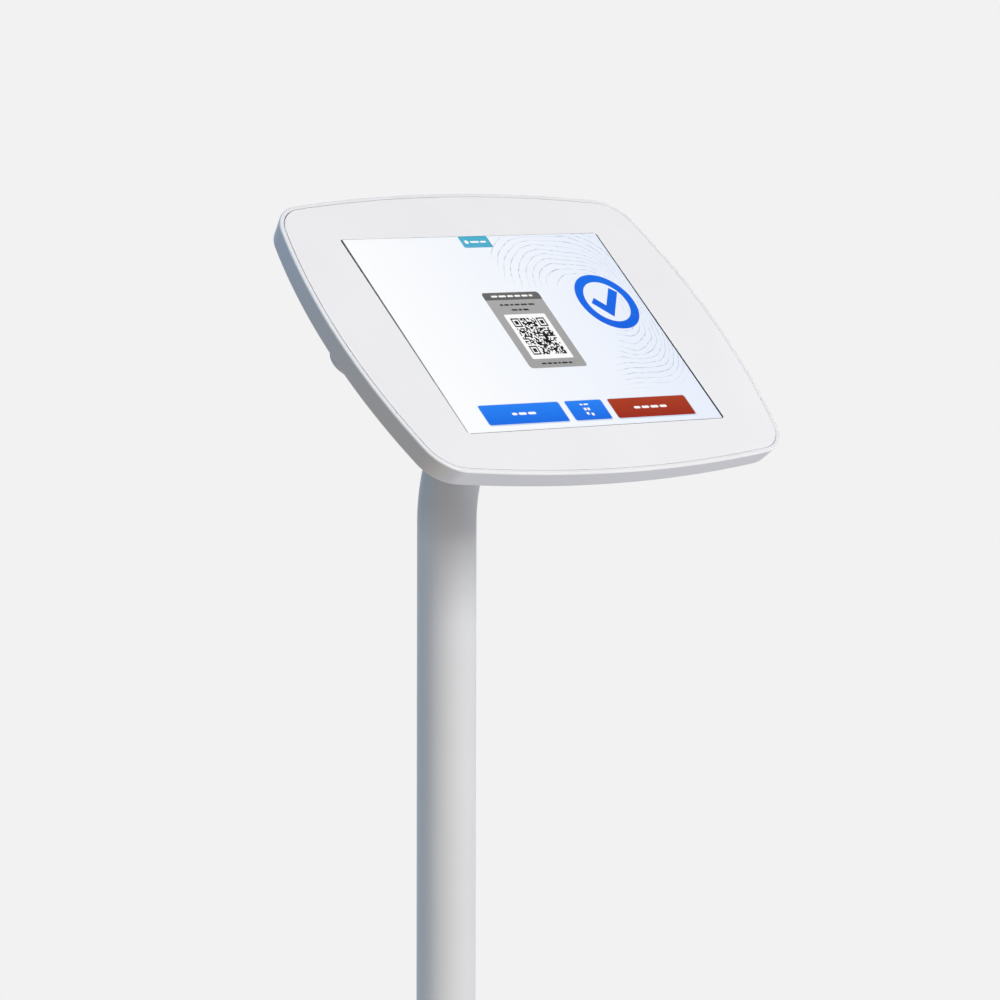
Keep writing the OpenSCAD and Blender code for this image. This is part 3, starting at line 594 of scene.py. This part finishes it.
# the post's paint, darker from the bend up as a painted shadow of the head
post_mat = painted("post_powder_coat_neck_shade", (0.71, 0.72, 0.738, 1), 0.36, 0.09, 0.0012, neck=0.835)
base_mat = painted("base_powder_coat", (0.76, 0.77, 0.79, 1), 0.46, 0.12, 0.0013, dust=0.12)
steel_mat = metal("zinc_steel", (0.55, 0.56, 0.58, 1), 0.34)
bright_mat = metal("nickel_plate", (0.72, 0.71, 0.69, 1), 0.22, (1, 1, 30), 700)
cam_mat = metal("cam_steel", (0.60, 0.60, 0.60, 1), 0.38, (40, 1, 1), 500)
alu_mat = metal("blasted_aluminium", (0.66, 0.67, 0.69, 1), 0.42, (1, 1, 1), 2600, 0.03, 0.35)
rubber_mat = moulded("black_rubber", (0.022, 0.022, 0.024, 1), 0.72, 0.3, 0.0006, 0.12, 0.35)
soft_mat = moulded("grey_rubber", (0.045, 0.045, 0.048, 1), 0.66, 0.25, 0.0007, 0.1, 0.4)
inlet_mat = moulded("inlet_nylon", (0.02, 0.02, 0.022, 1), 0.45, 0.2, 0.0005, 0.1)
lead_mat = moulded("lead_sheath", (0.035, 0.035, 0.038, 1), 0.5, 0.18, 0.0007, 0.1)
home_mat = moulded("home_key_black", (0.012, 0.012, 0.014, 1), 0.22, 0.05, 0.0005, 0.05)
film_mat = moulded("battery_film", (0.03, 0.03, 0.033, 1), 0.4, 0.4, 0.003, 0.1)
border_mat = moulded("glass_border_black", (0.006, 0.006, 0.007, 1), 0.3, 0.02, 0.0006, 0.1)
foam_mat = foam("pad_foam", (0.05, 0.05, 0.055, 1))
glass_mat = glass("screen_glass")
board_mat = board("board_laminate")

CAD_LOOKS = (
    (base_mat, "base_plate foot_flange"),
    (post_mat, "post_tube mount_plate"),
    (case_mat, "rear_shell"),
    (plate_mat, "faceplate"),
    (rubber_mat, "foot_pad_1 foot_pad_2 foot_pad_3 foot_pad_4 plate_grommet"),
    (soft_mat, "corner_bumper_1 corner_bumper_2 corner_bumper_3 corner_bumper_4 charge_plug"),
    (foam_mat, "back_pad_1 back_pad_2 back_pad_3 back_pad_4"),
    (steel_mat, "flange_bolts mount_screws lock_nut cam_screw catch_screws clip_screw"),
    (bright_mat, "inlet_nut mount_washers lock_housing lock_core"),
    (cam_mat, "lock_cam face_catch"),
    (alu_mat, "tablet_housing power_button volume_up volume_down"),
    (inlet_mat, "inlet_socket lead_clip"),
    (lead_mat, "charge_lead"),
    (glass_mat, "tablet_glass"),
    (border_mat, "tablet_display"),
    (film_mat, "tablet_battery"),
    (board_mat, "tablet_board"),
    (home_mat, "home_button"),
)
for mat, names in CAD_LOOKS:
    for node in names.split():
        me = nodes[node].data
        me.materials.clear()
        me.materials.append(mat)
        me.polygons.foreach_set("material_index", [0] * len(me.polygons))
        me.polygons.foreach_set("use_smooth", [True] * len(me.polygons))


def settle(obj, body, slot, *replaced):
    """Puts a piece on its body, in the place of the nodes it replaces; its slot is not used.
    """
    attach(obj, body)
    if replaced:
        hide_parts(*replaced)
    return obj


# ---------------------------------------------------------------- case

CASE = (153.5, 113.5, 360.0, 940.0, 26.0)
CAVITY_IN, FLOOR_Z, BACK_Z = 4.85, -14.2, -16.8
SEAT_IN, LEDGE_Z = 2.6, -2.6
HUMP_W, HUMP_Z, HUMP_FLOOR = 112, -20.8, -17.8
MOUNT_W, MOUNT_Z, MOUNT_HOLE = 100, -24.8, 37.5
LOCK_X, LOCK_HOLE = 137.0, 6.05
PLATE_IN, PLATE_BACK, PLATE_SHIFT = 3.0, -2.5, 0.2
WINDOW = (207.8, 155.5)


def case_ring(o):
    return bow(CASE, o)


def make_shell():
    """Rear tray: rim and ledge, sloped sides, the raised pad for the mount and its holes."""
    f = Form()
    outer = rounded([(CAVITY_IN, LEDGE_Z), (SEAT_IN, LEDGE_Z, 0.15), (SEAT_IN, 0, 0.2),
                     (0, 0, 0.95), (0, -1.25), (2.6, -14.05, 2.6), (8, BACK_Z, 2.5),
                     (11, BACK_Z)], 6)
    out = f.loft(case_ring, outer)
    inner = rounded([(CAVITY_IN, LEDGE_Z), (CAVITY_IN + 1.0, FLOOR_Z, 1.0),
                     (9, FLOOR_Z)], 6)
    inner[0] = (CAVITY_IN, LEDGE_Z)
    ins = f.loft(case_ring, inner)

    def hump(o):
        return rrect(HUMP_W + 2 * o, HUMP_W + 2 * o, 10 + o, n=10)

    back = f.loft(hump, rounded([(3, BACK_Z), (0, BACK_Z, 1.6), (0, HUMP_Z, 1.4),
                                 (-3, HUMP_Z)], 6))
    lock_out, lock_in = (f.ring(circle(LOCK_HOLE, -LOCK_X), z) for z in (BACK_Z, FLOOR_Z))
    f.band(lock_out, lock_in)
    f.cap(out[-1], [back[0], lock_out])

    def pocket(o):
        return rrect(98 - 2 * o, 98 - 2 * o, 6 - o * 0.6, n=8)

    pit = f.loft(pocket, rounded([(-2, FLOOR_Z), (0, FLOOR_Z, 0.6), (0, HUMP_FLOOR, 1.0),
                                  (2.2, HUMP_FLOOR)], 5))
    f.cap(ins[-1], [pit[0], lock_in])
    tops, bottoms = [], []
    spots = [(x * MOUNT_HOLE, y * MOUNT_HOLE, 2.75) for x in (-1, 1) for y in (-1, 1)]
    for x, y, r in [(0, 0, 10.1)] + spots:
        a, b = (f.ring(circle(r, x, y, 32), z) for z in (HUMP_FLOOR, HUMP_Z))
        f.band(a, b)
        tops.append(a)
        bottoms.append(b)
    f.cap(pit[-1], tops)
    f.cap(back[-1], bottoms)
    o = f.make("case_shell", [case_mat], HEAD)
    hook = Form()
    hook.slab([(146.5, -20.4), (149.97, -20.4), (149.97, 20.4), (146.5, 20.4)], -7.2, -4.5)
    screw = Form()
    screw.slab(circle(1.02, 60, -68, 24), FLOOR_Z - 1.8, FLOOR_Z + 0.2)
    carve(o, [hook.make("cut_hook", [case_mat], HEAD),
              screw.make("cut_screw", [case_mat], HEAD)])
    return settle(o, "stand", "shell_plastic", "rear_shell")


SLOPE_DEPTH, SLOPE_FROM, SLOPE_RISE, SLOPE_RUN = 14.1, 2.5, 2.7, 5.5


def back_depth(x, y):
    """Depth of the shell's outer face at a point near its left edge."""
    lo, hi = 0.0, 30.0
    for _ in range(30):
        mid = (lo + hi) / 2
        ring = case_ring(mid)
        near = min(ring, key=lambda q: (q[1] - y) ** 2 + (0 if q[0] < 0 else 1e6))
        lo, hi = (mid, hi) if near[0] < x else (lo, mid)
    return min(-BACK_Z, SLOPE_DEPTH + max(0.0, lo - SLOPE_FROM) * SLOPE_RISE / SLOPE_RUN)


def make_lock_boss():
    """Raised ring round the lock's head, thicker below, let into the slope beside it."""
    f = Form()
    inner, outer, drop, high, lean, sunk = 9.0, 12.6, 3.2, 0.55, 0.045, 0.45
    rings = []
    for r, h in rounded([(inner, -1.0), (inner, 0, 0.3), (outer, 0, 0.8), (13.0, -1.0)], 5):
        flat = circle(r, -LOCK_X, -drop * (r - inner) / 3.6, 72)
        rings.append(f.ring3([(x, y, BACK_Z - high - h + lean * y if h > -0.95
                               else sunk - back_depth(x, y)) for x, y in flat]))
    f.bands(rings + rings[:1])
    o = f.make("lock_boss", [case_mat], HEAD)
    return settle(o, "stand", "shell_plastic")


def make_front_plate():
    """Front plate with the window's undercut lip, the tablet's recess and the hook tab."""
    f = Form()

    def outline(o):
        return [(x + PLATE_SHIFT, y) for x, y in case_ring(o)]

    edge = f.loft(outline, rounded([(PLATE_IN + 2, PLATE_BACK), (PLATE_IN, PLATE_BACK, 0.3),
                                    (PLATE_IN, 0, 0.3), (PLATE_IN + 3, 0)], 6))

    def window(o):
        return rrect(WINDOW[0] + 2 * o, WINDOW[1] + 2 * o, 2 + o, 0.2, 0, 8)

    hole = f.loft(window, rounded([(2.0, 0), (0, 0, 0.18), (0, -0.22), (1.6, -1.0)], 5))
    f.cap(edge[-1], [hole[0]])

    def pocket(o):
        return rrect(252.6 - 2 * o, 176.1 - 2 * o, 9 - o, n=8)

    pit = f.loft(pocket, rounded([(1.5, -1.0), (0, -1.0, 0.4), (0, PLATE_BACK, 0.25),
                                  (-1.2, PLATE_BACK)], 4))
    f.cap(pit[0], [hole[-1]])
    f.cap(edge[0], [pit[-1]])
    # the hook tab's rib and its nib
    f.slab(rrect(4.3, 39.4, 0.5, 144.77, 0, 3), -6.9, -2.3, 0.35)
    f.slab(rrect(6.8, 39.4, 0.5, 146.02, 0, 3), -6.9, -5.2, 0.35)
    o = f.make("front_plate", [plate_mat], HEAD)
    cuts = []
    for y in (-15.4, 15.4):
        c = Form()
        c.slab(circle(1.27, -141.7, y, 24), PLATE_BACK - 0.2, -0.6)
        cuts.append(c.make("cut_catch", [plate_mat], HEAD))
    carve(o, cuts)
    return settle(o, "front_plate", "face_plastic", "faceplate")


make_shell()
make_lock_boss()
make_front_plate()


# ---------------------------------------------------------------- post and base

TUBE_R, TUBE_IN, SOCKET_R = 18.0, 16.0, 6.1
WELD_R, WELD_LEG, WELD_CROWN = 18.02, 4.2, 0.18
BASE = (200.0, 200.0, 1500.0, 1500.0, 70.0)
BASE_Z, BASE_TOP, FLANGE_TOP = 2.5, 10.5, 20.5


def post_path():
    """Points and the outward axis of the rings up the post, round the bend and up the neck."""
    rows = [((0, POST_Y, z), 0.0)
            for z in (BASE_TOP, FLANGE_TOP, 24.5, 120, 340, 560, 780, 900, BEND_Z)]
    for k in range(1, 45):
        a = math.radians(k)
        rows.append(((0, POST_Y - BEND_R + BEND_R * math.cos(a),
                      BEND_Z + BEND_R * math.sin(a)), a))
    end = HEAD_AT / MM + AN * MOUNT_Z
    rows.append((tuple(end), TILT))
    return rows


def make_post():
    """Bent tube with the inlet's hole through its back wall."""
    f = Form()
    n = 96
    skins = []
    for r in (TUBE_R, TUBE_IN):
        rings = []
        for c, a in post_path():
            e = Vector((0, math.cos(a), math.sin(a)))
            rings.append(f.ring3([Vector(c) + (AX * math.cos(t) + e * math.sin(t)) * r
                                  for t in (2 * math.pi * i / n for i in range(n))]))
        f.bands(rings)
        skins.append(rings)
    f.band(skins[0][0], skins[1][0])
    f.band(skins[0][-1], skins[1][-1])
    o = f.make("post", [post_mat])
    c = Form()
    ends = [c.ring3([(x, y, 75 + z) for x, z in circle(SOCKET_R, n=48)])
            for y in (POST_Y + 12, POST_Y + 24)]
    c.bands(ends)
    c.cap(ends[0])
    c.cap(ends[1])
    carve(o, [c.make("cut_inlet", [post_mat])])
    return settle(o, "stand", "post_paint", "post_tube")


def weld_prof(z0, up):
    """Slightly crowned fillet weld in the corner between the post and a plate at z0."""
    pts = []
    for k in range(9):
        t = math.pi / 2 * k / 8
        crown = WELD_CROWN * math.sin(2 * t)
        pts.append((WELD_R + WELD_LEG - (WELD_LEG - 0.05) * math.sin(t) + crown,
                    z0 + up * (WELD_LEG * (1 - math.cos(t)) + crown)))
    return pts


def make_flange():
    f = Form()
    z0, z1 = BASE_TOP, FLANGE_TOP
    prof = rounded([(WELD_R, z0), (55, z0, 0.5), (55, z1, 1.6), (23, z1)], 6)
    rings = f.loft(about(0, POST_Y, 128), prof + weld_prof(z1, 1))
    f.band(rings[-1], rings[0])
    o = f.make("flange", [base_mat])
    return settle(o, "stand", "base_paint", "foot_flange")


def make_base():
    """Plate with the floor bolts' holes, the feet's recesses and the flange bolts' cones."""
    f = Form()
    z0, z1 = BASE_Z, BASE_TOP
    side = f.loft(lambda o: bow(BASE, o, 24),
                  rounded([(4, z0), (0, z0, 0.7), (0, z1, 1.8), (6, z1)], 7))
    tops, bottoms = [], []
    for x in (-1, 1):
        for y in (-1, 1):
            rings = f.loft(about(x * 160, y * 100, 48),
                           rounded([(9.6, z1), (9.0, z1, 0.5), (4.5, 6.0, 0.3),
                                    (4.5, z0, 0.3), (5.2, z0)], 4))
            tops.append(rings[0])
            bottoms.append(rings[-1])
            rings = f.loft(about(x * 150, y * 150, 64),
                           rounded([(21.0, z0), (20.3, z0, 0.3), (20.3, 4.0), (10, 4.0)], 4))
            bottoms.append(rings[0])
            f.cap(rings[-1])
    for k in range(4):
        a = math.radians(45 + 90 * k)
        rings = f.loft(about(38 * math.cos(a), POST_Y + 38 * math.sin(a), 40),
                       [(4.3, z1), (4.3, 6.3), (8.15, z0)])
        tops.append(rings[0])
        bottoms.append(rings[-1])
    f.cap(side[-1], tops)
    f.cap(side[0], bottoms)
    o = f.make("base", [base_mat])
    return settle(o, "stand", "base_paint", "base_plate")


def make_mount():
    """Square plate with its tapped holes, the lead's hole and the weld on the post."""
    f = Form()
    z0, z1 = HUMP_Z, MOUNT_Z

    def square(o):
        return rrect(MOUNT_W - 2 * o, MOUNT_W - 2 * o, 6 - o * 0.8, n=8)

    rim = f.loft(square, rounded([(2, z0), (0, z0, 0.4), (0, z1, 0.9), (3, z1)], 5))
    fronts, backs = [], []
    for x in (-1, 1):
        for y in (-1, 1):
            a, b = (f.ring(circle(2.6, x * MOUNT_HOLE, y * MOUNT_HOLE, 32), z)
                    for z in (z0, z1))
            f.band(a, b)
            fronts.append(a)
            backs.append(b)
    prof = [(10, z0), (10, z1), (WELD_R, z1), (WELD_R, -28.9)]
    mid = f.loft(about(0, 0, 96), prof + weld_prof(z1, -1)[::-1][1:] + [(25, z1)])
    f.cap(rim[0], fronts + [mid[0]])
    f.cap(rim[-1], backs + [mid[-1]])
    o = f.make("mount", [post_mat], HEAD)
    return settle(o, "stand", "post_paint", "mount_plate")


make_post()
make_flange()
make_base()
make_mount()


# ---------------------------------------------------------------- rubber and foam

for i in range(1, 5):
    p = soften(f"corner_bumper_{i}", f"bumper_{i}", 0.55, soft_mat)


def make_pad(i):
    """Foam block behind the tablet, with crowned faces and soft edges."""
    sx, sy = (1, -1, -1, 1)[i - 1], (1, 1, -1, -1)[i - 1]
    w, h, z0, z1 = 36.0, 30.0, FLOOR_Z, -8.7
    f = Form()
    prof = []
    for k in range(13):
        t = -math.pi / 2 + math.pi * k / 12
        prof.append((1.1 * (1 - abs(math.cos(t)) ** 0.6) + 0.25 * math.sin(t) ** 2,
                     (z0 + z1) / 2 + (z1 - z0) / 2 * math.sin(t)))
    rings = f.loft(lambda o: rrect(w - 2 * o, h - 2 * o, 2.2 - o * 0.3, sx * 85, sy * 35, 6),
                   prof)
    f.cap(rings[0])
    f.cap(rings[-1])
    o = f.make(f"foam_{i}", [foam_mat], HEAD, 60)
    settle(o, "stand", "pad_foam", f"back_pad_{i}")


for i in range(1, 5):
    make_pad(i)


# ---------------------------------------------------------------- screen

PANEL_Z, LAYER, PRINT_Z = -2.06, 0.003, -1.985
GROUND_EDGE = ((-101.22, -76.0), (105.9, -76.0), (105.9, 79.6), (-99.97, 79.6))
BORDER_EDGE = ((-102.6, -78.4), (104.65, -78.4), (105.25, 79.0), (-102.6, 79.0))
LINES_AT, LINE_STEP, LINE_FROM, LINE_TO = (0.070, 0.022), 0.00205, 0.00173, 0.00201
LINE_POWER = 2.6


def picture_ground():
    """Pale ground that cools to the right, with faint contour lines round its upper right.

    The lines are rings of a rounded-square distance from LINES_AT, made uneven by noise. They
    show above that point and to the right of it, and fade near it and far from it.
    """
    s = Nodes("picture_ground")
    x, y, _ = s.xyz()
    ground = s.mix(s.remap(x, -0.095, 0.098, 0, 1), lin((253, 254, 255)), lin((234, 241, 254)))
    wobble = s.noise(24, 1.5, 0.5, distort=0.3)
    right = s.math("SUBTRACT", x, LINES_AT[0])
    above = s.math("SUBTRACT", y, LINES_AT[1])
    beside = s.math("MULTIPLY_ADD", above, -0.66, right)
    part = s.math("MAXIMUM", s.math("MULTIPLY", s.remap(above, 0.012, 0.023, 0, 1),
                                    s.remap(right, -0.066, -0.056, 0, 1)),
                  s.remap(beside, 0.012, 0.020, 0, 1))
    dx = s.math("MAXIMUM", s.math("MULTIPLY", right, 1.45), s.math("MULTIPLY", right, -0.78))
    dy = s.math("ABSOLUTE", above)
    far = s.math("POWER", s.math("ADD", s.math("POWER", dx, LINE_POWER),
                                 s.math("POWER", dy, LINE_POWER)), 1 / LINE_POWER)
    ripple = s.math("ADD", far, s.math("MULTIPLY", wobble, 0.016))
    line = s.remap(s.math("PINGPONG", ripple, LINE_STEP), LINE_FROM, LINE_TO, 0, 1)
    near = s.math("MULTIPLY", s.remap(far, 0.019, 0.024, 0, 1),
                  s.math("MULTIPLY", part, s.remap(far, 0.060, 0.074, 1, 0)))
    broken = s.remap(s.noise(240, 2, 0.6), 0.44, 0.58, 0.25, 0.95)
    s.lit(s.mix(s.math("MULTIPLY", line, s.math("MULTIPLY", near, broken)), ground,
                lin((150, 162, 184))))
    return s.mat


# make_screen's materials in their order, after the panel's black
GROUND, TAB, CARD, CARD_TOP, PAPER, INK, BLUE, RED, MARK, HALO = range(1, 11)


def make_screen():
    """The lit picture in thin layers: ground, tab, card with a code, buttons and a mark."""
    mats = [
        border_mat,
        picture_ground(),
        glow("tab_teal", lin((60, 168, 203)), lin((74, 180, 212)), 68, 80),
        glow("card_grey", lin((160, 160, 160)), lin((168, 168, 168)), -29, 33),
        glow("card_head", lin((88, 88, 88)), lin((100, 100, 100)), 26, 33),
        glow("paper_white", lin((255, 255, 255))),
        glow("code_black", lin((12, 12, 12))),
        glow("button_blue", lin((6, 106, 230)), lin((28, 130, 246)), -71.7, -55.7),
        glow("button_red", lin((156, 36, 12)), lin((172, 58, 26)), -71.7, -55.7),
        glow("mark_blue", lin((0, 98, 228)), lin((0, 108, 236)), 0, 44),
        glow("halo", lin((206, 220, 240))),
    ]
    f = Form()
    f.slab(rrect(212, 160, 0.5, n=3), -3.6, PANEL_Z - LAYER)
    f.cap(f.ring(GROUND_EDGE, PANEL_Z), (), GROUND)
    f.turn, f.shift = math.radians(-0.25), (2.7, 1.8)
    top = [PANEL_Z]

    def sheet(flat, mat, holes=()):
        top[0] += LAYER
        f.cap(f.ring(flat, top[0]), [f.ring(h, top[0]) for h in holes], mat)

    def box(x0, x1, y0, y1, r, mat):
        sheet(rrect(x1 - x0, y1 - y0, r, (x0 + x1) / 2, (y0 + y1) / 2, 5), mat)

    # tab
    box(-11.8, 11.6, 67.9, 77.4, 1.2, TAB)
    sheet(circle(1.5, -7.4, 72.6, 20), PAPER)
    for x0, x1 in ((-4.4, 2.6), (3.6, 8.4)):
        box(x0, x1, 71.9, 73.3, 0.6, PAPER)
    # card
    box(-23.5, 22.7, -30.8, 30.6, 2.4, CARD)
    sheet(rounded([(-23.5, 24.5), (22.7, 24.5), (22.7, 30.6, 2.4), (-23.5, 30.6, 2.4)], 6,
                  True), CARD_TOP)
    words(box, -17, 16.4, 27.5, 1.5, PAPER)
    words(box, -14.6, 13.8, 20.4, 1.3, INK)
    words(box, -7.8, 7.0, 16.2, 1.3, INK)
    words(box, -12.4, 12.2, -27.4, 1.2, INK)
    box(-17, 16.2, -23.6, 12.6, 1.0, PAPER)
    top[0] += LAYER
    code_grid(f, top[0], -13.9, 13.1, -20.2, 9.4)
    # buttons
    for x0, x1, m in ((-83.8, -20.3, BLUE), (-15.3, 14.2, BLUE), (19.4, 83.2, RED)):
        box(x0 - 0.5, x1 + 0.5, -74.1, -57.4, 1.9, HALO)
        box(x0, x1, -73.1, -57.7, 1.4, m)
    words(box, -61.4, -42.6, -65.4, 1.9, PAPER)
    words(box, 36.8, 66.0, -65.4, 1.9, PAPER)
    words(box, -4.6, 3.6, -60.9, 1.1, PAPER)
    for x, y in ((-2.6, -64.6), (0.2, -64.6), (-2.6, -68.0), (1.0, -68.8)):
        box(x - 1.0, x + 1.0, y - 1.0, y + 1.0, 0.2, PAPER)
    # mark: a tick in a ring
    sheet(circle(22.5, 73.2, 20.2, 72), MARK, [circle(16.4, 73.2, 20.2, 72)])
    sheet(stroke([(62.2, 21.6), (70.8, 12.4), (84.4, 29.6)], 6.2), MARK)
    o = f.make("screen_picture", mats, HEAD, 20)
    return settle(o, "stand", "screen_panel", "tablet_display")


def words(box, x0, x1, y, h, mat):
    """A line of rounded bars in the place of a line of words."""
    rng = random.Random(int((x0 + 200) * 31 + y * 7))
    x = x0
    while x < x1 - 0.8 * h:
        w = min(h * rng.uniform(1.6, 4.2), x1 - x)
        box(x, x + w, y - h / 2, y + h / 2, h * 0.45, mat)
        x += w + h * 0.7


CODE_SIZE, CODE_SEED, CODE_DENSITY = 29, 7, 0.54


def code_grid(f, z, x0, x1, y0, y1):
    """Square code of the usual look, whose modules are random and say nothing."""
    n = CODE_SIZE
    rng = random.Random(CODE_SEED)
    on = [[rng.random() < CODE_DENSITY for _ in range(n)] for _ in range(n)]
    for cx, cy in ((0, 0), (n - 7, 0), (0, n - 7)):
        for i in range(-1, 8):
            for j in range(-1, 8):
                if 0 <= cx + i < n and 0 <= cy + j < n:
                    d = max(abs(i - 3), abs(j - 3))
                    on[cy + j][cx + i] = d in (0, 1, 3)
    dx, dy = (x1 - x0) / n, (y1 - y0) / n
    for j in range(n):
        i = 0
        while i < n:
            if not on[j][i]:
                i += 1
                continue
            k = i
            while k < n and on[j][k]:
                k += 1
            xa, xb = x0 + i * dx, x0 + k * dx
            ya, yb = y1 - (j + 1) * dy, y1 - j * dy
            f.cap(f.ring([(xa, ya), (xb, ya), (xb, yb), (xa, yb)], z), (), INK)
            i = k


def stroke(pts, w):
    """Outline of a line of even width with mitred corners and square ends."""
    p = [Vector(q) for q in pts]
    left, right = [], []
    for i, q in enumerate(p):
        a = (p[i] - p[i - 1]).normalized() if i else (p[1] - p[0]).normalized()
        b = (p[i + 1] - p[i]).normalized() if i < len(p) - 1 else a
        m = (a + b).normalized()
        nrm = Vector((-m.y, m.x)) * (w / 2 / max(m.dot(b), 0.3))
        left.append(tuple(q + nrm))
        right.append(tuple(q - nrm))
    return left + right[::-1]


def make_border():
    """Black print behind the glass round the lit picture."""
    f = Form()
    f.cap(f.ring(rrect(249.0, 172.6, 7.2, n=8), PRINT_Z),
          [f.ring(BORDER_EDGE, PRINT_Z), f.ring(circle(7.3, 114.5, 0, 48), PRINT_Z)])
    o = f.make("glass_border", [border_mat], HEAD)
    return settle(o, "stand", "screen_glass")


make_screen()
make_border()


# ---------------------------------------------------------------- stage and light

PALE = lin((242, 242, 242))
FLOOR_LIFT, FLOOR_FADE = 0.36, (0.7, 2.2)
STAGE_R = 14000


def backdrop_material():
    m = bpy.data.materials.new("backdrop")
    m.use_nodes = True
    t = m.node_tree
    t.nodes.clear()
    e, o = t.nodes.new("ShaderNodeEmission"), t.nodes.new("ShaderNodeOutputMaterial")
    e.inputs["Color"].default_value = PALE
    t.links.new(e.outputs[0], o.inputs[0])
    return m


def floor_material():
    """Pale floor that shows shadows near the stand and fades to the backdrop's tone."""
    s = Nodes("floor")
    d = s.add("ShaderNodeBsdfDiffuse")
    d.inputs["Color"].default_value = (0.80, 0.80, 0.80, 1)
    lift, away = s.add("ShaderNodeEmission"), s.add("ShaderNodeEmission")
    lift.inputs["Color"].default_value = away.inputs["Color"].default_value = PALE
    lift.inputs["Strength"].default_value = FLOOR_LIFT
    near = s.add("ShaderNodeAddShader")
    s.link(d.outputs[0], near.inputs[0])
    s.link(lift.outputs[0], near.inputs[1])
    dist = s.add("ShaderNodeVectorMath", operation="LENGTH")
    s.link(s.coord, dist.inputs[0])
    mix = s.add("ShaderNodeMixShader")
    s.link(s.remap(dist.outputs["Value"], *FLOOR_FADE, 0, 1), mix.inputs[0])
    s.link(near.outputs[0], mix.inputs[1])
    s.link(away.outputs[0], mix.inputs[2])
    s.link(mix.outputs[0], s.out.inputs[0])
    return s.mat


def make_stage():
    """Floor and dome that only the camera sees, directly or through the tablet's glass."""
    f = Form()
    f.cap(f.ring(circle(STAGE_R, n=96), 0))
    floor = f.make("floor", [floor_material()])
    f = Form()
    rings = [f.ring(circle(STAGE_R * math.cos(t), n=96), STAGE_R * math.sin(t))
             for t in (math.radians(a) for a in range(0, 90, 6))]
    f.bands(rings)
    f.cap(rings[-1])
    dome = f.make("backdrop", [backdrop_material()])
    for o in (floor, dome):
        o.visible_diffuse = o.visible_glossy = o.visible_transmission = False
        o.visible_shadow = False
    dome.visible_transmission = floor.visible_transmission = True


# each lobe's direction, and its colour there
SKY = (
    ((0.348, -0.497, -0.795), (0.360, 0.480, 0.680)),
    ((0.000, 0.000, -1.000), (0.660, 0.580, 0.420)),
    ((-0.764, 0.204, 0.612), (0.320, 0.450, 0.627)),
    ((-0.450, 0.601, 0.661), (0.085, 0.400, 0.690)),
    ((0.682, 0.732, 0.000), (0.680, 0.690, 0.720)),
    ((0.000, 0.707, -0.707), (0.560, 0.480, 0.400)),
    ((-0.707, -0.707, 0.000), (0.440, 0.350, 0.240)),
    ((-1.000, 0.000, 0.000), (0.090, 0.060, 0.020)),
    ((0.000, -0.751, 0.661), (0.658, 0.611, 0.557)),
    ((0.000, 0.000, 1.000), (0.346, 0.287, 0.293)),
    ((0.807, -0.202, -0.555), (0.680, 0.620, 0.580)),
    ((0.100, -0.350, -0.931), (0.340, 0.380, 0.460)),
)


LOBE_POWER = 4


def make_world():
    """Soft studio light as a sum of broad lobes, each a power of the cosine off its axis."""
    w = bpy.data.worlds.new("studio")
    bpy.context.scene.world = w
    w.use_nodes = True
    t = w.node_tree
    t.nodes.clear()

    def new(kind, operation):
        n = t.nodes.new(kind)
        n.operation = operation
        return n

    out = t.nodes.new("ShaderNodeOutputWorld")
    bg = t.nodes.new("ShaderNodeBackground")
    way = t.nodes.new("ShaderNodeTexCoord").outputs["Generated"]
    total = None
    for u, colour in SKY:
        dot = new("ShaderNodeVectorMath", "DOT_PRODUCT")
        dot.inputs[1].default_value = u
        t.links.new(way, dot.inputs[0])
        front = new("ShaderNodeMath", "MAXIMUM")
        front.inputs[1].default_value = 0
        t.links.new(dot.outputs["Value"], front.inputs[0])
        lobe = new("ShaderNodeMath", "POWER")
        lobe.inputs[1].default_value = LOBE_POWER
        t.links.new(front.outputs[0], lobe.inputs[0])
        part = new("ShaderNodeVectorMath", "SCALE")
        part.inputs[0].default_value = colour
        t.links.new(lobe.outputs[0], part.inputs["Scale"])
        if total is not None:
            both = new("ShaderNodeVectorMath", "ADD")
            t.links.new(total, both.inputs[0])
            t.links.new(part.outputs[0], both.inputs[1])
            part = both
        total = part.outputs[0]
    t.links.new(total, bg.inputs["Color"])
    t.links.new(bg.outputs[0], out.inputs[0])


LIGHTS_AIM = Vector((0, 0.02, 0.95))


def soft_box(name, azimuth, elevation, distance, size, k):
    """Light aimed at the head, where its irradiance over pi is k.

    Azimuth 0 is straight in front, and the distance and the sizes are in metres.
    """
    a, e = math.radians(azimuth), math.radians(elevation)
    way = Vector((math.sin(a) * math.cos(e), -math.cos(a) * math.cos(e), math.sin(e)))
    data = bpy.data.lights.new(name, "AREA")
    data.shape = "RECTANGLE"
    data.size, data.size_y = size
    data.energy = k * math.pi ** 2 * distance ** 2
    o = bpy.data.objects.new(name, data)
    o.location = LIGHTS_AIM + way * distance
    o.rotation_mode = "QUATERNION"
    o.rotation_quaternion = way.to_track_quat("Z", "Y")
    o.visible_camera = False
    bpy.context.scene.collection.objects.link(o)


make_stage()
make_world()
soft_box("key", 8, 25, 4.0, (1.6, 1.4), 0.63)
soft_box("glint_left", -88, 45, 3.0, (0.3, 0.3), 0.02)
soft_box("glint_right", 43, -2, 3.0, (0.3, 0.3), 0.008)
bpy.context.scene.view_settings.view_transform = "Standard"
bpy.context.scene.view_settings.look = "None"
